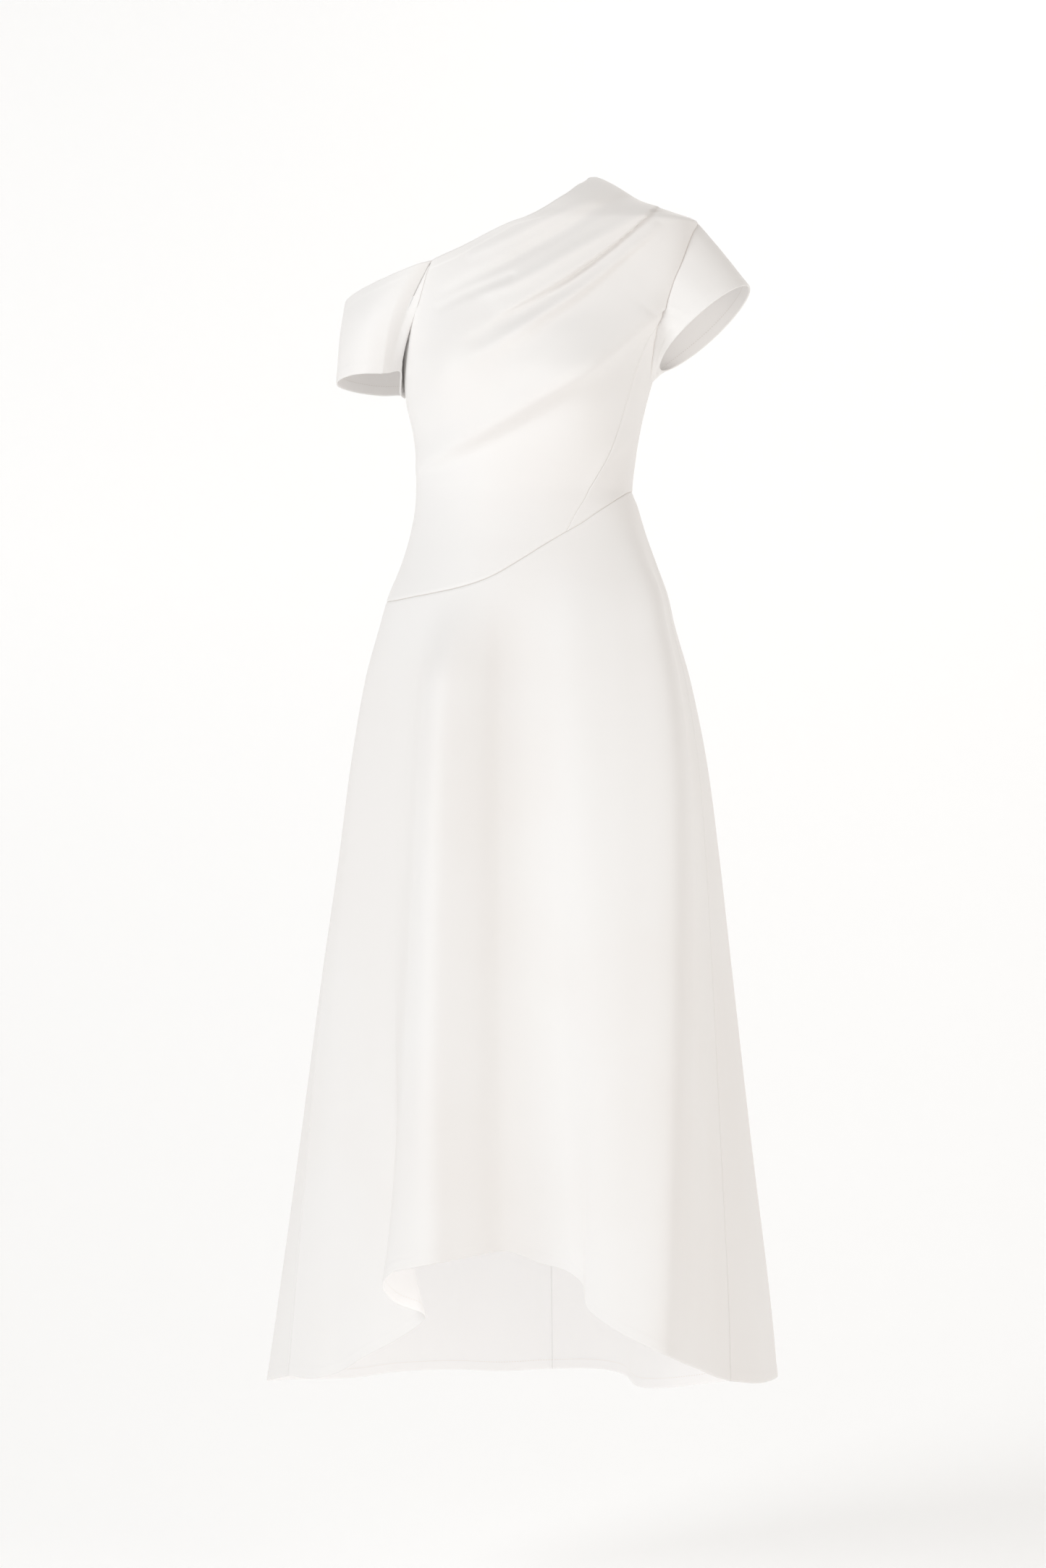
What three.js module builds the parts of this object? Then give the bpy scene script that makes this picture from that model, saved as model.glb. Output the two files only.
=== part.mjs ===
// A one-shoulder dress in ivory crepe, hollow and open as it hangs when worn, in millimetres.
// +Z is up, the front faces -Y, and the wearer's left, with the cap sleeve, is at +X.
// Heights in the tables are above the waist corner, where the slanting waist seam meets the left side.
// Bearings go round the body: 0 at the centre front, 90 at the wearer's left, 180 at the centre back.
import * as THREE from "three";

// Driving dimensions
const CLOTH = 1.8;
const HALF_CLOTH = CLOTH / 2;
const HALF_SEAM = 0.2;
const SEAM_TRIM = 1.3 * HALF_SEAM;
const HALF_WAIST_GAP = 0.3;
const LAP = CLOTH + 0.7;
const UNDERARM_LEFT = 122;
const UNDERARM_RIGHT = 124;
const SHOULDER_TIP = 303;
const NECK_POINT = 358;
const BACK_CENTRE = 0.38;
const HELD_AT = new THREE.Vector3(140, 0, 328);

// The worn form: half width to each side, and depth to the front and back, at each height.
const SECTIONS = [
  { height: -1060, right: 300, left: 300, front: 270, back: 257 },
  { height: -942, right: 284, left: 289, front: 260, back: 248 },
  { height: -743, right: 258, left: 264, front: 238, back: 231 },
  { height: -545, right: 233, left: 241, front: 210, back: 209 },
  { height: -413, right: 214, left: 226, front: 188, back: 190 },
  { height: -314, right: 200, left: 213, front: 169, back: 173 },
  { height: -215, right: 182, left: 193, front: 146, back: 151 },
  { height: -149, right: 163, left: 174, front: 128, back: 133 },
  { height: -122, right: 155, left: 168, front: 120, back: 124 },
  { height: -83, right: 139, left: 153.5, front: 108, back: 111 },
  { height: -50, right: 129, left: 141, front: 98, back: 100 },
  { height: -17, right: 123, left: 130.5, front: 91, back: 90 },
  { height: 0, right: 122, left: 124.5, front: 89, back: 87 },
  { height: 35, right: 121.5, left: 128, front: 94, back: 88 },
  { height: 66, right: 125, left: 133, front: 105, back: 93 },
  { height: 103, right: 133, left: 141.5, front: 118, back: 100 },
  { height: 135, right: 136, left: 151, front: 124, back: 104 },
  { height: 165, right: 139, left: 163, front: 121, back: 106 },
  { height: 200, right: 149, left: 177, front: 111, back: 104 },
  { height: 230, right: 157, left: 188, front: 101, back: 99 },
  { height: 257, right: 160, left: 195, front: 91, back: 93 },
  { height: 285, right: 148, left: 199, front: 80, back: 86 },
  { height: 303, right: 136, left: 199.5, front: 73, back: 78 },
  { height: 314, right: 130, left: 174, front: 67, back: 71 },
  { height: 327, right: 120, left: 138.5, front: 60, back: 62 },
  { height: 340, right: 108, left: 117, front: 47, back: 48 },
  { height: 350, right: 95, left: 101, front: 32, back: 32 },
  { height: 358, right: 78, left: 83, front: 12, back: 12 },
];

// The slanting waist seam, the same round the back as round the front.
const WAIST_SEAM = [
  { bearing: -90, height: -125.5 },
  { bearing: -65, height: -125.5 },
  { bearing: -43, height: -121.5 },
  { bearing: -32, height: -118 },
  { bearing: -23, height: -114 },
  { bearing: -12, height: -106 },
  { bearing: -4, height: -96.5 },
  { bearing: 6, height: -80.5 },
  { bearing: 13, height: -69 },
  { bearing: 23, height: -54.5 },
  { bearing: 34, height: -41 },
  { bearing: 43, height: -29.5 },
  { bearing: 52, height: -20 },
  { bearing: 64, height: -10.5 },
  { bearing: 79, height: -3 },
  { bearing: 90, height: -0.5 },
];

// Side front seam, from the waist seam up to the armhole.
const SIDE_FRONT_SEAM = [
  { height: -60, bearing: 23 },
  { height: -50, bearing: 26 },
  { height: -29, bearing: 32 },
  { height: -6, bearing: 41 },
  { height: 22, bearing: 50 },
  { height: 48, bearing: 57 },
  { height: 72, bearing: 61 },
  { height: 107, bearing: 64 },
  { height: 141, bearing: 65.5 },
  { height: 186, bearing: 66 },
];

// Left armhole, front and back.
const LEFT_ARMHOLE = [
  { height: 122, front: 90, back: 90 },
  { height: 130, front: 83, back: 101 },
  { height: 150, front: 76, back: 107 },
  { height: 170, front: 70.5, back: 109 },
  { height: 186, front: 66, back: 110 },
  { height: 230, front: 65.5, back: 109 },
  { height: 266, front: 70, back: 106 },
  { height: 290, front: 78, back: 100 },
  { height: 303, front: 90, back: 90 },
];

// Right armhole, with the short join to the off-shoulder sleeve above 206.
const RIGHT_ARMHOLE = [
  { height: 124, front: -90, back: 270 },
  { height: 130, front: -85, back: 264 },
  { height: 150, front: -79, back: 254 },
  { height: 175, front: -68, back: 244 },
  { height: 193, front: -55, back: 234 },
  { height: 206, front: -46, back: 227 },
  { height: 257, front: -35.5, back: 216 },
];

// Neckline height from the right armhole (0) to the left neck point (1).
const NECKLINE = [
  { share: 0, front: 257, back: 252 },
  { share: 0.12, front: 270.5, back: 262 },
  { share: 0.24, front: 290.5, back: 277 },
  { share: 0.33, front: 307.5, back: 290 },
  { share: 0.39, front: 318.5, back: 299 },
  { share: 0.47, front: 330, back: 311 },
  { share: 0.6, front: 346, back: 328 },
  { share: 0.8, front: 356.5, back: 348 },
  { share: 1, front: 358, back: 358 },
];

// Folds drawn across the draped front: places seen from the front, and the rise.
// A step stands up on its upper side only, as the sharp edge of a laid pleat does.
const DRAPES = [
  {
    name: "main pleat",
    line: [[160, 324], [137, 298], [111, 272], [85, 250], [37, 216], [-13, 187], [-44, 163]],
    rise: 7,
    width: 30,
    step: true,
  },
  {
    name: "valley under the pleat",
    line: [[128, 277], [98, 252], [66, 226], [37, 206], [4, 186], [-46, 156]],
    rise: -5,
    width: 9,
  },
  {
    name: "upper crest",
    line: [[140, 280], [102, 240], [73, 215], [34, 187], [-2, 162], [-42, 140]],
    rise: 4,
    width: 9,
  },
  {
    name: "middle valley",
    line: [[136, 264], [99, 224], [74, 199], [48, 177], [22, 155], [-34, 124], [-74, 102]],
    rise: -6,
    width: 13,
  },
  {
    name: "long low crest",
    line: [[145, 188], [87, 131], [31, 96], [-33, 61], [-90, 36], [-124, 20]],
    rise: 9,
    width: 15,
  },
  {
    name: "low valley",
    line: [[134, 148], [93, 114], [60, 90], [31, 73], [-15, 51], [-70, 26]],
    rise: -5,
    width: 12,
  },
  {
    name: "shoulder crest",
    line: [[170, 298], [177, 255], [173, 210], [165, 165]],
    rise: 6,
    width: 26,
  },
  {
    name: "neck valley",
    line: [[128, 334], [83, 304], [44, 279], [-6, 250], [-40, 234], [-86, 212]],
    rise: -4.5,
    width: 10,
  },
  {
    name: "neck crest",
    line: [[142, 313], [98, 282], [65, 261], [25, 235], [-14, 219], [-60, 203]],
    rise: 3,
    width: 9,
  },
];

const DRAPE_ENDS = { start: 0.12, power: 0.6 };
const PLEAT_EDGE = 3;

// Bust fullness on a general figure.
const BUST = { bearing: 29, height: 128, rise: 11, reach: 16, drop: 46 };

// Folds rise straight off the front, and die away towards the side seams.
const RISE = { forward: 1.8, sideFade: 2.5 };

// The cloth stands level within this height of the waist seam, so the two edges meet squarely.
const LEVEL_WITHIN = 25;

// The skirt's folds: where each starts on the waist seam, its place in the hem seen from above, the
// height of the hem there, how far the hem itself swings sideways where the cloth rolls under, and
// the share of the fold that stands already a little below the waist seam.
const FRONT_FOLDS = [
  { name: "right side seam", waist: -90, across: -253, along: -98, height: -999, swing: 0, early: 0 },
  { name: "side slope", waist: -79, across: -218, along: -134, height: -996, swing: 0, early: 0 },
  { name: "side slope, low", waist: -70, across: -185, along: -152, height: -986, swing: 0, early: 0.1 },
  { name: "side slope, foot", waist: -62, across: -153, along: -168, height: -966, swing: 0, early: 0.15 },
  { name: "under the roll", waist: -55, across: -134, along: -182, height: -945, swing: 19, early: 0.15 },
  { name: "roll, inner turn", waist: -49, across: -120, along: -194, height: -923, swing: 36, early: 0.15 },
  { name: "roll, back", waist: -44, across: -111, along: -208, height: -911, swing: 29, early: 0.15 },
  { name: "roll, underside", waist: -40, across: -106, along: -224, height: -899, swing: -1, early: 0.2 },
  { name: "roll, outer turn", waist: -35, across: -100, along: -246, height: -880, swing: -19, early: 0.4 },
  { name: "roll, brow", waist: -30, across: -92, along: -266, height: -861, swing: -15, early: 0.65 },
  { name: "first crest", waist: -25, across: -76, along: -281, height: -853, swing: -4, early: 0.85 },
  { name: "first crest, edge", waist: -20.5, across: -57, along: -284, height: -848, swing: 0, early: 0.95 },
  { name: "first flank, brow", waist: -15.5, across: -38, along: -274, height: -845, swing: 0, early: 1 },
  { name: "first flank", waist: -9.5, across: -12, along: -257, height: -841, swing: 0, early: 1 },
  { name: "valley, highest point", waist: -3, across: 16, along: -234, height: -839, swing: 0, early: 1 },
  { name: "valley floor", waist: 5, across: 50, along: -224, height: -852, swing: 0, early: 1 },
  { name: "valley, far side", waist: 15, across: 80, along: -228, height: -860, swing: 0, early: 0.9 },
  { name: "second flank", waist: 25, across: 98, along: -248, height: -872, swing: 2, early: 0.7 },
  { name: "second flank, brow", waist: 35, across: 112, along: -267, height: -896, swing: -3, early: 0.55 },
  { name: "second crest", waist: 46, across: 142, along: -282, height: -917, swing: 0, early: 0.5 },
  { name: "second crest, edge", waist: 58, across: 187, along: -284, height: -938, swing: 0, early: 0.55 },
  { name: "second crest, turn", waist: 68, across: 208, along: -252, height: -953, swing: 0, early: 0.5 },
  { name: "second crest, side", waist: 77, across: 222, along: -196, height: -969, swing: 0, early: 0.3 },
  { name: "side dip", waist: 85, across: 234, along: -132, height: -985, swing: -3, early: 0.1 },
  { name: "left side seam", waist: 90, across: 245, along: -92, height: -996, swing: 0, early: 0 },
];
const BACK_FOLDS = [
  { name: "left side seam", waist: 90, across: 245, along: -92, height: -996, swing: 0, early: 0 },
  { name: "side crest", waist: 98, across: 274, along: -42, height: -1005, swing: 0, early: 0.1 },
  { name: "side crest, edge", waist: 107, across: 289, along: 14, height: -1006, swing: 0, early: 0.1 },
  { name: "side crest, far side", waist: 115, across: 268, along: 54, height: -1012, swing: 0, early: 0.1 },
  { name: "valley, near side", waist: 124, across: 212, along: 66, height: -1022, swing: 0, early: 0.1 },
  { name: "back valley", waist: 134, across: 154, along: 84, height: -1032, swing: 0, early: 0.15 },
  { name: "valley, far side", waist: 144, across: 118, along: 124, height: -1037, swing: 0, early: 0.15 },
  { name: "back crest", waist: 155, across: 94, along: 190, height: -1033, swing: 0, early: 0.15 },
  { name: "back crest, brow", waist: 167, across: 54, along: 236, height: -1034, swing: 0, early: 0.15 },
  { name: "centre back seam", waist: 180, across: 0, along: 255, height: -1038, swing: 0, early: 0.15 },
  { name: "back dip", waist: 193, across: -60, along: 240, height: -1040, swing: 0, early: 0.15 },
  { name: "second back crest", waist: 206, across: -122, along: 258, height: -1042, swing: 0, early: 0.15 },
  { name: "third crest", waist: 220, across: -184, along: 224, height: -1041, swing: 0, early: 0.15 },
  { name: "third back dip", waist: 235, across: -228, along: 148, height: -1038, swing: 0, early: 0.15 },
  { name: "right side crest", waist: 248, across: -282, along: 84, height: -1031, swing: 0, early: 0.1 },
  { name: "right side edge", waist: 260, across: -298, along: 4, height: -1021, swing: 0, early: 0.1 },
  { name: "right side seam", waist: 270, across: -253, along: -98, height: -999, swing: 0, early: 0 },
];

// The cap sleeve's hem is an ellipse: its centre, its half axis towards the shoulder, and its half
// axis towards the back, which lies lower and further out than the front.
const CAP_HEM = { centre: [208, 0, 184], reach: [51, 0, 45], back: [3, 50, -9] };

// The off-shoulder sleeve's neck edge is half an ellipse, which drops towards the outside of the arm.
const OFF_NECK = { across: -95, reach: 109, depth: 80, height: 257, drop: 38 };

// Its hem, from behind the front crease in along the bodice, then back round the outside of the arm,
// and how far the cloth stands out midway up from each place. The rows up to the back join are held.
const OFF_HEM = [
  { name: "behind the crease", across: -147, along: -60, height: 132, outAcross: -4, outAlong: -6 },
  { name: "curl", across: -134, along: -46, height: 134, outAcross: -1.5, outAlong: -2 },
  { name: "under the arm, front", across: -138.5, along: -20, height: 113, outAcross: -1, outAlong: -1 },
  { name: "under the arm, back", across: -141, along: 22, height: 111, outAcross: -4, outAlong: 3 },
  { name: "back join", across: -150, along: 48, height: 117, outAcross: -7, outAlong: 6 },
  { name: "back", across: -176, along: 58, height: 118, outAcross: -5, outAlong: 6 },
  { name: "back, outer side", across: -203, along: 42, height: 121, outAcross: -2, outAlong: 4 },
  { name: "outside of the arm", across: -215, along: 6, height: 124, outAcross: -1, outAlong: 0 },
  { name: "front, outer side", across: -208, along: -32, height: 127, outAcross: -2, outAlong: -4 },
  { name: "front", across: -190, along: -57, height: 130, outAcross: -3, outAlong: -8 },
  { name: "front, by the crease", across: -170, along: -67, height: 131, outAcross: -5, outAlong: -9 },
  { name: "front crease", across: -152, along: -64, height: 131, outAcross: -6, outAlong: -9 },
];

// Rows of each stretch of a panel's edge, and columns across each piece.
const ROWS = { sideSeam: 12, toUnderarm: 7, armholeFront: 8, armholeBack: 10, offArmhole: 8, shoulder: 5 };
const COLUMNS = { front: 38, sideFront: 9, back: 11, skirtFront: 63, skirtBack: 24, offNeck: 18 };
const SLEEVE_ROWS = 5;
const SKIRT_ROWS = { front: 14, back: 11 };
const ROW_CROWDING = 0.5;

// How soon the skirt's columns turn, spread and swing on their way down, and how far below the waist
// seam the early share of a fold has risen.
const SKIRT_FALL = { turn: 0.8, spread: 0.9, early: 0.15, swing: 6, levelEnd: 12 };

// How far the cap sleeve stands out between its hem and the armhole.
const CAP_BULGE = [0.6, 0, 0.8];

// Concealed zip at the centre back
const ZIP = { top: 12, end: -145, tapeWidth: 20, tape: 1, gap: 0.9, rows: 28 };
const SLIDER = { below: 13, width: 4.4, length: 9, base: 1.6, eye: 2, eyeLength: 4.4, crown: 0.9, gap: 0.3 };
const PULL = { thick: 1, length: 24, tip: 5, bar: 1, window: 5.1, leg: 0.9, gap: 0.35, corner: 0.3 };

// Looks
const IVORY = { color: 0xf1ece6, roughness: 0.62, metalness: 0 };
const TAPE_LOOK = { color: 0xe9e2da, roughness: 0.8, metalness: 0 };
const METAL_LOOK = { color: 0xd9d4cc, roughness: 0.35, metalness: 0.9 };

// Steps used to find a surface's normal
const PROBE = { bearing: 0.5, height: 1, column: 0.01, up: 0.002, edge: 0.004 };
const ROUNDS = 12;
const RADIANS = Math.PI / 180;
const lerp = THREE.MathUtils.lerp;
const clamp = THREE.MathUtils.clamp;

// A smooth curve through one column of a table, without overshoot.
function column(rows, key, name) {
  const xs = rows.map((row) => row[key]);
  const ys = rows.map((row) => row[name]);
  const last = xs.length - 1;
  const slopes = xs.slice(1).map((x, i) => (ys[i + 1] - ys[i]) / (x - xs[i]));
  const tangent = (i) => {
    if (i === 0) return slopes[0];
    if (i === last) return slopes[last - 1];
    const before = slopes[i - 1];
    const after = slopes[i];
    return before * after <= 0 ? 0 : (2 * before * after) / (before + after);
  };
  return (at) => {
    const x = clamp(at, xs[0], xs[last]);
    let i = 0;
    while (i < last - 1 && x > xs[i + 1]) i += 1;
    const step = xs[i + 1] - xs[i];
    const t = (x - xs[i]) / step;
    const rest = 1 - t;
    return (
      ys[i] * rest * rest * (1 + 2 * t) +
      ys[i + 1] * t * t * (3 - 2 * t) +
      tangent(i) * step * t * rest * rest -
      tangent(i + 1) * step * t * t * rest
    );
  };
}

// A rounded curve through one column of a chart of folds, by row number.
function chart(rows, name) {
  const value = (i) => {
    if (i < 0) return 2 * rows[0][name] - rows[1][name];
    if (i >= rows.length) return 2 * rows[rows.length - 1][name] - rows[rows.length - 2][name];
    return rows[i][name];
  };
  return (at) => {
    const i = Math.min(Math.floor(clamp(at, 0, rows.length - 1)), rows.length - 2);
    const t = at - i;
    const [a, b, c, d] = [value(i - 1), value(i), value(i + 1), value(i + 2)];
    return b + 0.5 * t * (c - a + t * (2 * a - 5 * b + 4 * c - d + t * (3 * (b - c) + d - a)));
  };
}

// The worn form
const halfWidth = {
  right: column(SECTIONS, "height", "right"),
  left: column(SECTIONS, "height", "left"),
};
const depth = {
  front: column(SECTIONS, "height", "front"),
  back: column(SECTIONS, "height", "back"),
};

function formPoint(bearing, height, reach = 1) {
  const sine = Math.sin(bearing * RADIANS);
  const cosine = Math.cos(bearing * RADIANS);
  const across = sine < 0 ? halfWidth.right(height) : halfWidth.left(height);
  const along = cosine > 0 ? depth.front(height) : depth.back(height);
  return new THREE.Vector3(across * sine * reach, -along * cosine * reach, height);
}

const waistCurve = column(WAIST_SEAM, "bearing", "height");

function waistHeight(bearing) {
  const across = Math.asin(Math.sin(bearing * RADIANS)) / RADIANS;
  return waistCurve(across);
}

// Distance from a fold's line, seen from the front, and the share of the way along it.
const FOLD_SAMPLES = 24;
const foldLines = DRAPES.map(({ line }) => {
  const places = line.map(([x, z]) => new THREE.Vector2(x, z));
  return new THREE.SplineCurve(places).getPoints(FOLD_SAMPLES);
});

function nearestOnLine(line, x, z) {
  let best = { distance: Infinity, share: 0 };
  for (let i = 0; i < line.length - 1; i += 1) {
    const a = line[i];
    const dx = line[i + 1].x - a.x;
    const dz = line[i + 1].y - a.y;
    const t = clamp(((x - a.x) * dx + (z - a.y) * dz) / (dx * dx + dz * dz), 0, 1);
    const away = Math.hypot(x - a.x - t * dx, z - a.y - t * dz);
    if (away < Math.abs(best.distance)) {
      // The line runs down to the right arm, so its upper side has a negative cross product.
      const side = dx * (z - a.y) - dz * (x - a.x) < 0 ? 1 : -1;
      best = { distance: away * side, share: (i + t) / (line.length - 1) };
    }
  }
  return best;
}

function drapeRise(x, z) {
  let rise = 0;
  DRAPES.forEach((fold, i) => {
    const { distance, share } = nearestOnLine(foldLines[i], x, z);
    const fade = Math.sin(Math.PI * lerp(DRAPE_ENDS.start, 1, share)) ** DRAPE_ENDS.power;
    const away = distance / fold.width;
    if (fold.step) {
      const edge = THREE.MathUtils.smoothstep(distance, -PLEAT_EDGE, PLEAT_EDGE);
      rise += fold.rise * fade * edge * Math.exp(-away * away);
    } else {
      rise += fold.rise * fade * Math.exp(-away * away);
    }
  });
  return rise;
}

function bustRise(bearing, height) {
  const up = (height - BUST.height) / BUST.drop;
  const round = (Math.abs(bearing) - BUST.bearing) / BUST.reach;
  return BUST.rise * Math.exp(-up * up - round * round);
}

function bodicePoint(bearing, height) {
  const point = formPoint(bearing, height);
  const facing = Math.cos(bearing * RADIANS);
  if (facing <= 0) return point;
  const fold = drapeRise(point.x, height) * Math.min(1, facing * RISE.sideFade);
  const rise = fold + bustRise(bearing, height);
  const flat = new THREE.Vector3(point.x, point.y * RISE.forward, 0).normalize();
  return point.addScaledVector(flat, rise);
}

// The outward normal of a surface given by two numbers, the second one running upwards.
function normalOf(surface, u, v, stepU, stepV) {
  const across = surface(u + stepU, v).sub(surface(u - stepU, v));
  const up = surface(u, v + stepV).sub(surface(u, v - stepV));
  return across.cross(up).normalize();
}

function bodiceNormal(bearing, height) {
  const within = Math.min(height, NECK_POINT - 2 * PROBE.height);
  const normal = normalOf(bodicePoint, bearing, within, PROBE.bearing, PROBE.height);
  const nearWaist = clamp((height - waistHeight(bearing)) / LEVEL_WITHIN, 0, 1);
  normal.z *= nearWaist;
  return normal.normalize();
}

// A closed cloth wall over a grid of columns and rows; a ring joins its last column to its first.
function cloth(name, columns, rows, pointAt, { ring = false, look = IVORY, half = HALF_CLOTH } = {}) {
  const width = ring ? columns : columns + 1;
  const grid = [];
  for (let j = 0; j <= rows; j += 1) {
    for (let i = 0; i < width; i += 1) grid.push(pointAt(i, j));
  }
  const positions = [1, -1].flatMap((side) =>
    grid.flatMap(({ point, normal }) => point.clone().addScaledVector(normal, side * half).toArray()),
  );
  const inner = grid.length;
  const index = [];
  const quad = (a, b, c, d) => index.push(a, b, c, a, c, d);
  for (let j = 0; j < rows; j += 1) {
    for (let i = 0; i < columns; i += 1) {
      const a = j * width + i;
      const b = j * width + ((i + 1) % width);
      quad(a, b, b + width, a + width);
      quad(inner + b, inner + a, inner + a + width, inner + b + width);
    }
    if (!ring) {
      const a = j * width;
      const b = a + width - 1;
      quad(inner + a, a, a + width, inner + a + width);
      quad(b, inner + b, inner + b + width, b + width);
    }
  }
  const top = rows * width;
  for (let i = 0; i < columns; i += 1) {
    const next = (i + 1) % width;
    quad(inner + i, inner + next, next, i);
    quad(top + i, top + next, inner + top + next, inner + top + i);
  }
  const geometry = new THREE.BufferGeometry();
  geometry.setAttribute("position", new THREE.Float32BufferAttribute(positions, 3));
  geometry.setIndex(index);
  geometry.computeVertexNormals();
  const mesh = new THREE.Mesh(geometry, new THREE.MeshStandardMaterial(look));
  mesh.name = name;
  return mesh;
}

// Bodice edges, as bearings at each height
const SPLIT = 186;
const OFF_JOIN = 206;
const sideFrontSeam = column(SIDE_FRONT_SEAM, "height", "bearing");
const leftArmhole = {
  front: column(LEFT_ARMHOLE, "height", "front"),
  back: column(LEFT_ARMHOLE, "height", "back"),
};
const rightArmhole = {
  front: column(RIGHT_ARMHOLE, "height", "front"),
  back: column(RIGHT_ARMHOLE, "height", "back"),
};
const neckline = {
  front: column(NECKLINE, "share", "front"),
  back: column(NECKLINE, "share", "back"),
};
const leftOfFront = (height) => (height < SPLIT ? sideFrontSeam(height) : leftArmhole.front(height));

// Heights of the rows along one stretch of an edge, without its first row.
function evenRows(from, to, count) {
  return Array.from({ length: count }, (_, i) => lerp(from, to, (i + 1) / count));
}

function armholeRows(from, to, count) {
  return evenRows(0, 1, count).map((share) => lerp(from, to, 0.5 - 0.5 * Math.cos(Math.PI * share)));
}

const upperRows = {
  leftFront: armholeRows(SPLIT, SHOULDER_TIP, ROWS.armholeFront),
  leftSideFront: armholeRows(UNDERARM_LEFT, SPLIT, ROWS.sideSeam - ROWS.toUnderarm),
  leftBack: armholeRows(UNDERARM_LEFT, SHOULDER_TIP, ROWS.armholeBack),
  shoulder: evenRows(SHOULDER_TIP, NECK_POINT, ROWS.shoulder),
  right: armholeRows(UNDERARM_RIGHT, OFF_JOIN, ROWS.offArmhole),
  joinFront: evenRows(OFF_JOIN, neckline.front(0), ROWS.shoulder),
  joinBack: evenRows(OFF_JOIN, neckline.back(0), ROWS.shoulder),
};

// A bodice panel between two edges. Each edge is a bearing at each height and the heights of its
// rows above the waist seam, which the seams next to it share.
function panel(name, columns, start, end, topAt) {
  const turn = (height) => SEAM_TRIM / halfWidth.left(height) / RADIANS;
  const bearingAt = (share, height) =>
    lerp(start.bearing(height) + turn(height), end.bearing(height) - turn(height), share);
  const bottomAt = (share) => {
    let height = 0;
    for (let i = 0; i < ROUNDS; i += 1) height = waistHeight(bearingAt(share, height));
    return height + HALF_WAIST_GAP;
  };
  const sharesOf = (edge, share) => {
    const bottom = bottomAt(share);
    const span = topAt(share) - bottom;
    return edge.rows(bottom).map((height) => (height - bottom) / span);
  };
  const startShares = sharesOf(start, 0);
  const endShares = sharesOf(end, 1);
  return cloth(name, columns, startShares.length - 1, (i, j) => {
    const share = i / columns;
    const height = lerp(bottomAt(share), topAt(share), lerp(startShares[j], endShares[j], share));
    const bearing = bearingAt(share, height);
    return { point: bodicePoint(bearing, height), normal: bodiceNormal(bearing, height) };
  });
}

const evenShares = (rows, top) => (bottom) => [bottom, ...evenRows(bottom, top, rows)];

const bodiceFront = panel(
  "bodice_front",
  COLUMNS.front,
  {
    bearing: rightArmhole.front,
    rows: (bottom) => [
      bottom,
      ...evenRows(bottom, UNDERARM_RIGHT, ROWS.sideSeam),
      ...upperRows.right,
      ...upperRows.joinFront,
    ],
  },
  {
    bearing: leftOfFront,
    rows: (bottom) => [
      bottom,
      ...evenRows(bottom, SPLIT, ROWS.sideSeam),
      ...upperRows.leftFront,
      ...upperRows.shoulder,
    ],
  },
  neckline.front,
);

// The side front ends in a narrow tip one row below the place where its seam meets the armhole.
const sideFrontBottom = waistHeight(SIDE_FRONT_SEAM[1].bearing);
const sideFrontTip = evenRows(sideFrontBottom, SPLIT, ROWS.sideSeam).at(-2);
const bodiceSideFront = panel(
  "bodice_side_front",
  COLUMNS.sideFront,
  {
    bearing: sideFrontSeam,
    rows: (bottom) => [bottom, ...evenRows(bottom, SPLIT, ROWS.sideSeam).slice(0, -1)],
  },
  {
    bearing: leftArmhole.front,
    rows: (bottom) => [
      bottom,
      ...evenRows(bottom, UNDERARM_LEFT, ROWS.toUnderarm),
      ...upperRows.leftSideFront.slice(0, -1),
    ],
  },
  (share) => lerp(sideFrontTip, upperRows.leftSideFront.at(-2), share),
);

const bodiceBackLeft = panel(
  "bodice_back_left",
  COLUMNS.back,
  {
    bearing: leftArmhole.back,
    rows: (bottom) => [
      bottom,
      ...evenRows(bottom, UNDERARM_LEFT, ROWS.toUnderarm),
      ...upperRows.leftBack,
      ...upperRows.shoulder,
    ],
  },
  {
    bearing: () => 180,
    rows: evenShares(ROWS.toUnderarm + ROWS.armholeBack + ROWS.shoulder, neckline.back(BACK_CENTRE)),
  },
  (share) => neckline.back(lerp(1, BACK_CENTRE, share)),
);

const bodiceBackRight = panel(
  "bodice_back_right",
  COLUMNS.back,
  {
    bearing: () => 180,
    rows: evenShares(ROWS.toUnderarm + ROWS.offArmhole + ROWS.shoulder, neckline.back(BACK_CENTRE)),
  },
  {
    bearing: rightArmhole.back,
    rows: (bottom) => [
      bottom,
      ...evenRows(bottom, UNDERARM_RIGHT, ROWS.toUnderarm),
      ...upperRows.right,
      ...upperRows.joinBack,
    ],
  },
  (share) => neckline.back(lerp(BACK_CENTRE, 0, share)),
);

// The skirt: each column of cloth runs from its place on the waist seam to its place in the hem.
function skirtSurface(rows) {
  const waist = chart(rows, "waist");
  const across = chart(rows, "across");
  const along = chart(rows, "along");
  const height = chart(rows, "height");
  const swing = chart(rows, "swing");
  const early = chart(rows, "early");
  return (at, up) => {
    const start = waist(at);
    const hem = height(at);
    const [x, y] = [across(at), along(at)];
    const sideways = x / (x < 0 ? halfWidth.right(hem) : halfWidth.left(hem));
    const forward = -y / (y < 0 ? depth.front(hem) : depth.back(hem));
    let end = Math.atan2(sideways, forward) / RADIANS;
    end += 360 * Math.round((start - end) / 360);
    const reach = Math.hypot(sideways, forward);
    const down = 1 - up;
    const bearing = lerp(start, end, down ** SKIRT_FALL.turn);
    const level = lerp(waistHeight(start) - HALF_WAIST_GAP, hem, down);
    const stands = THREE.MathUtils.smoothstep(down, 0, SKIRT_FALL.early);
    const share = lerp(down ** SKIRT_FALL.spread, stands, early(at));
    const point = formPoint(bearing, level, lerp(1, reach, share));
    point.x += swing(at) * down ** SKIRT_FALL.swing;
    return point;
  };
}

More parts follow.
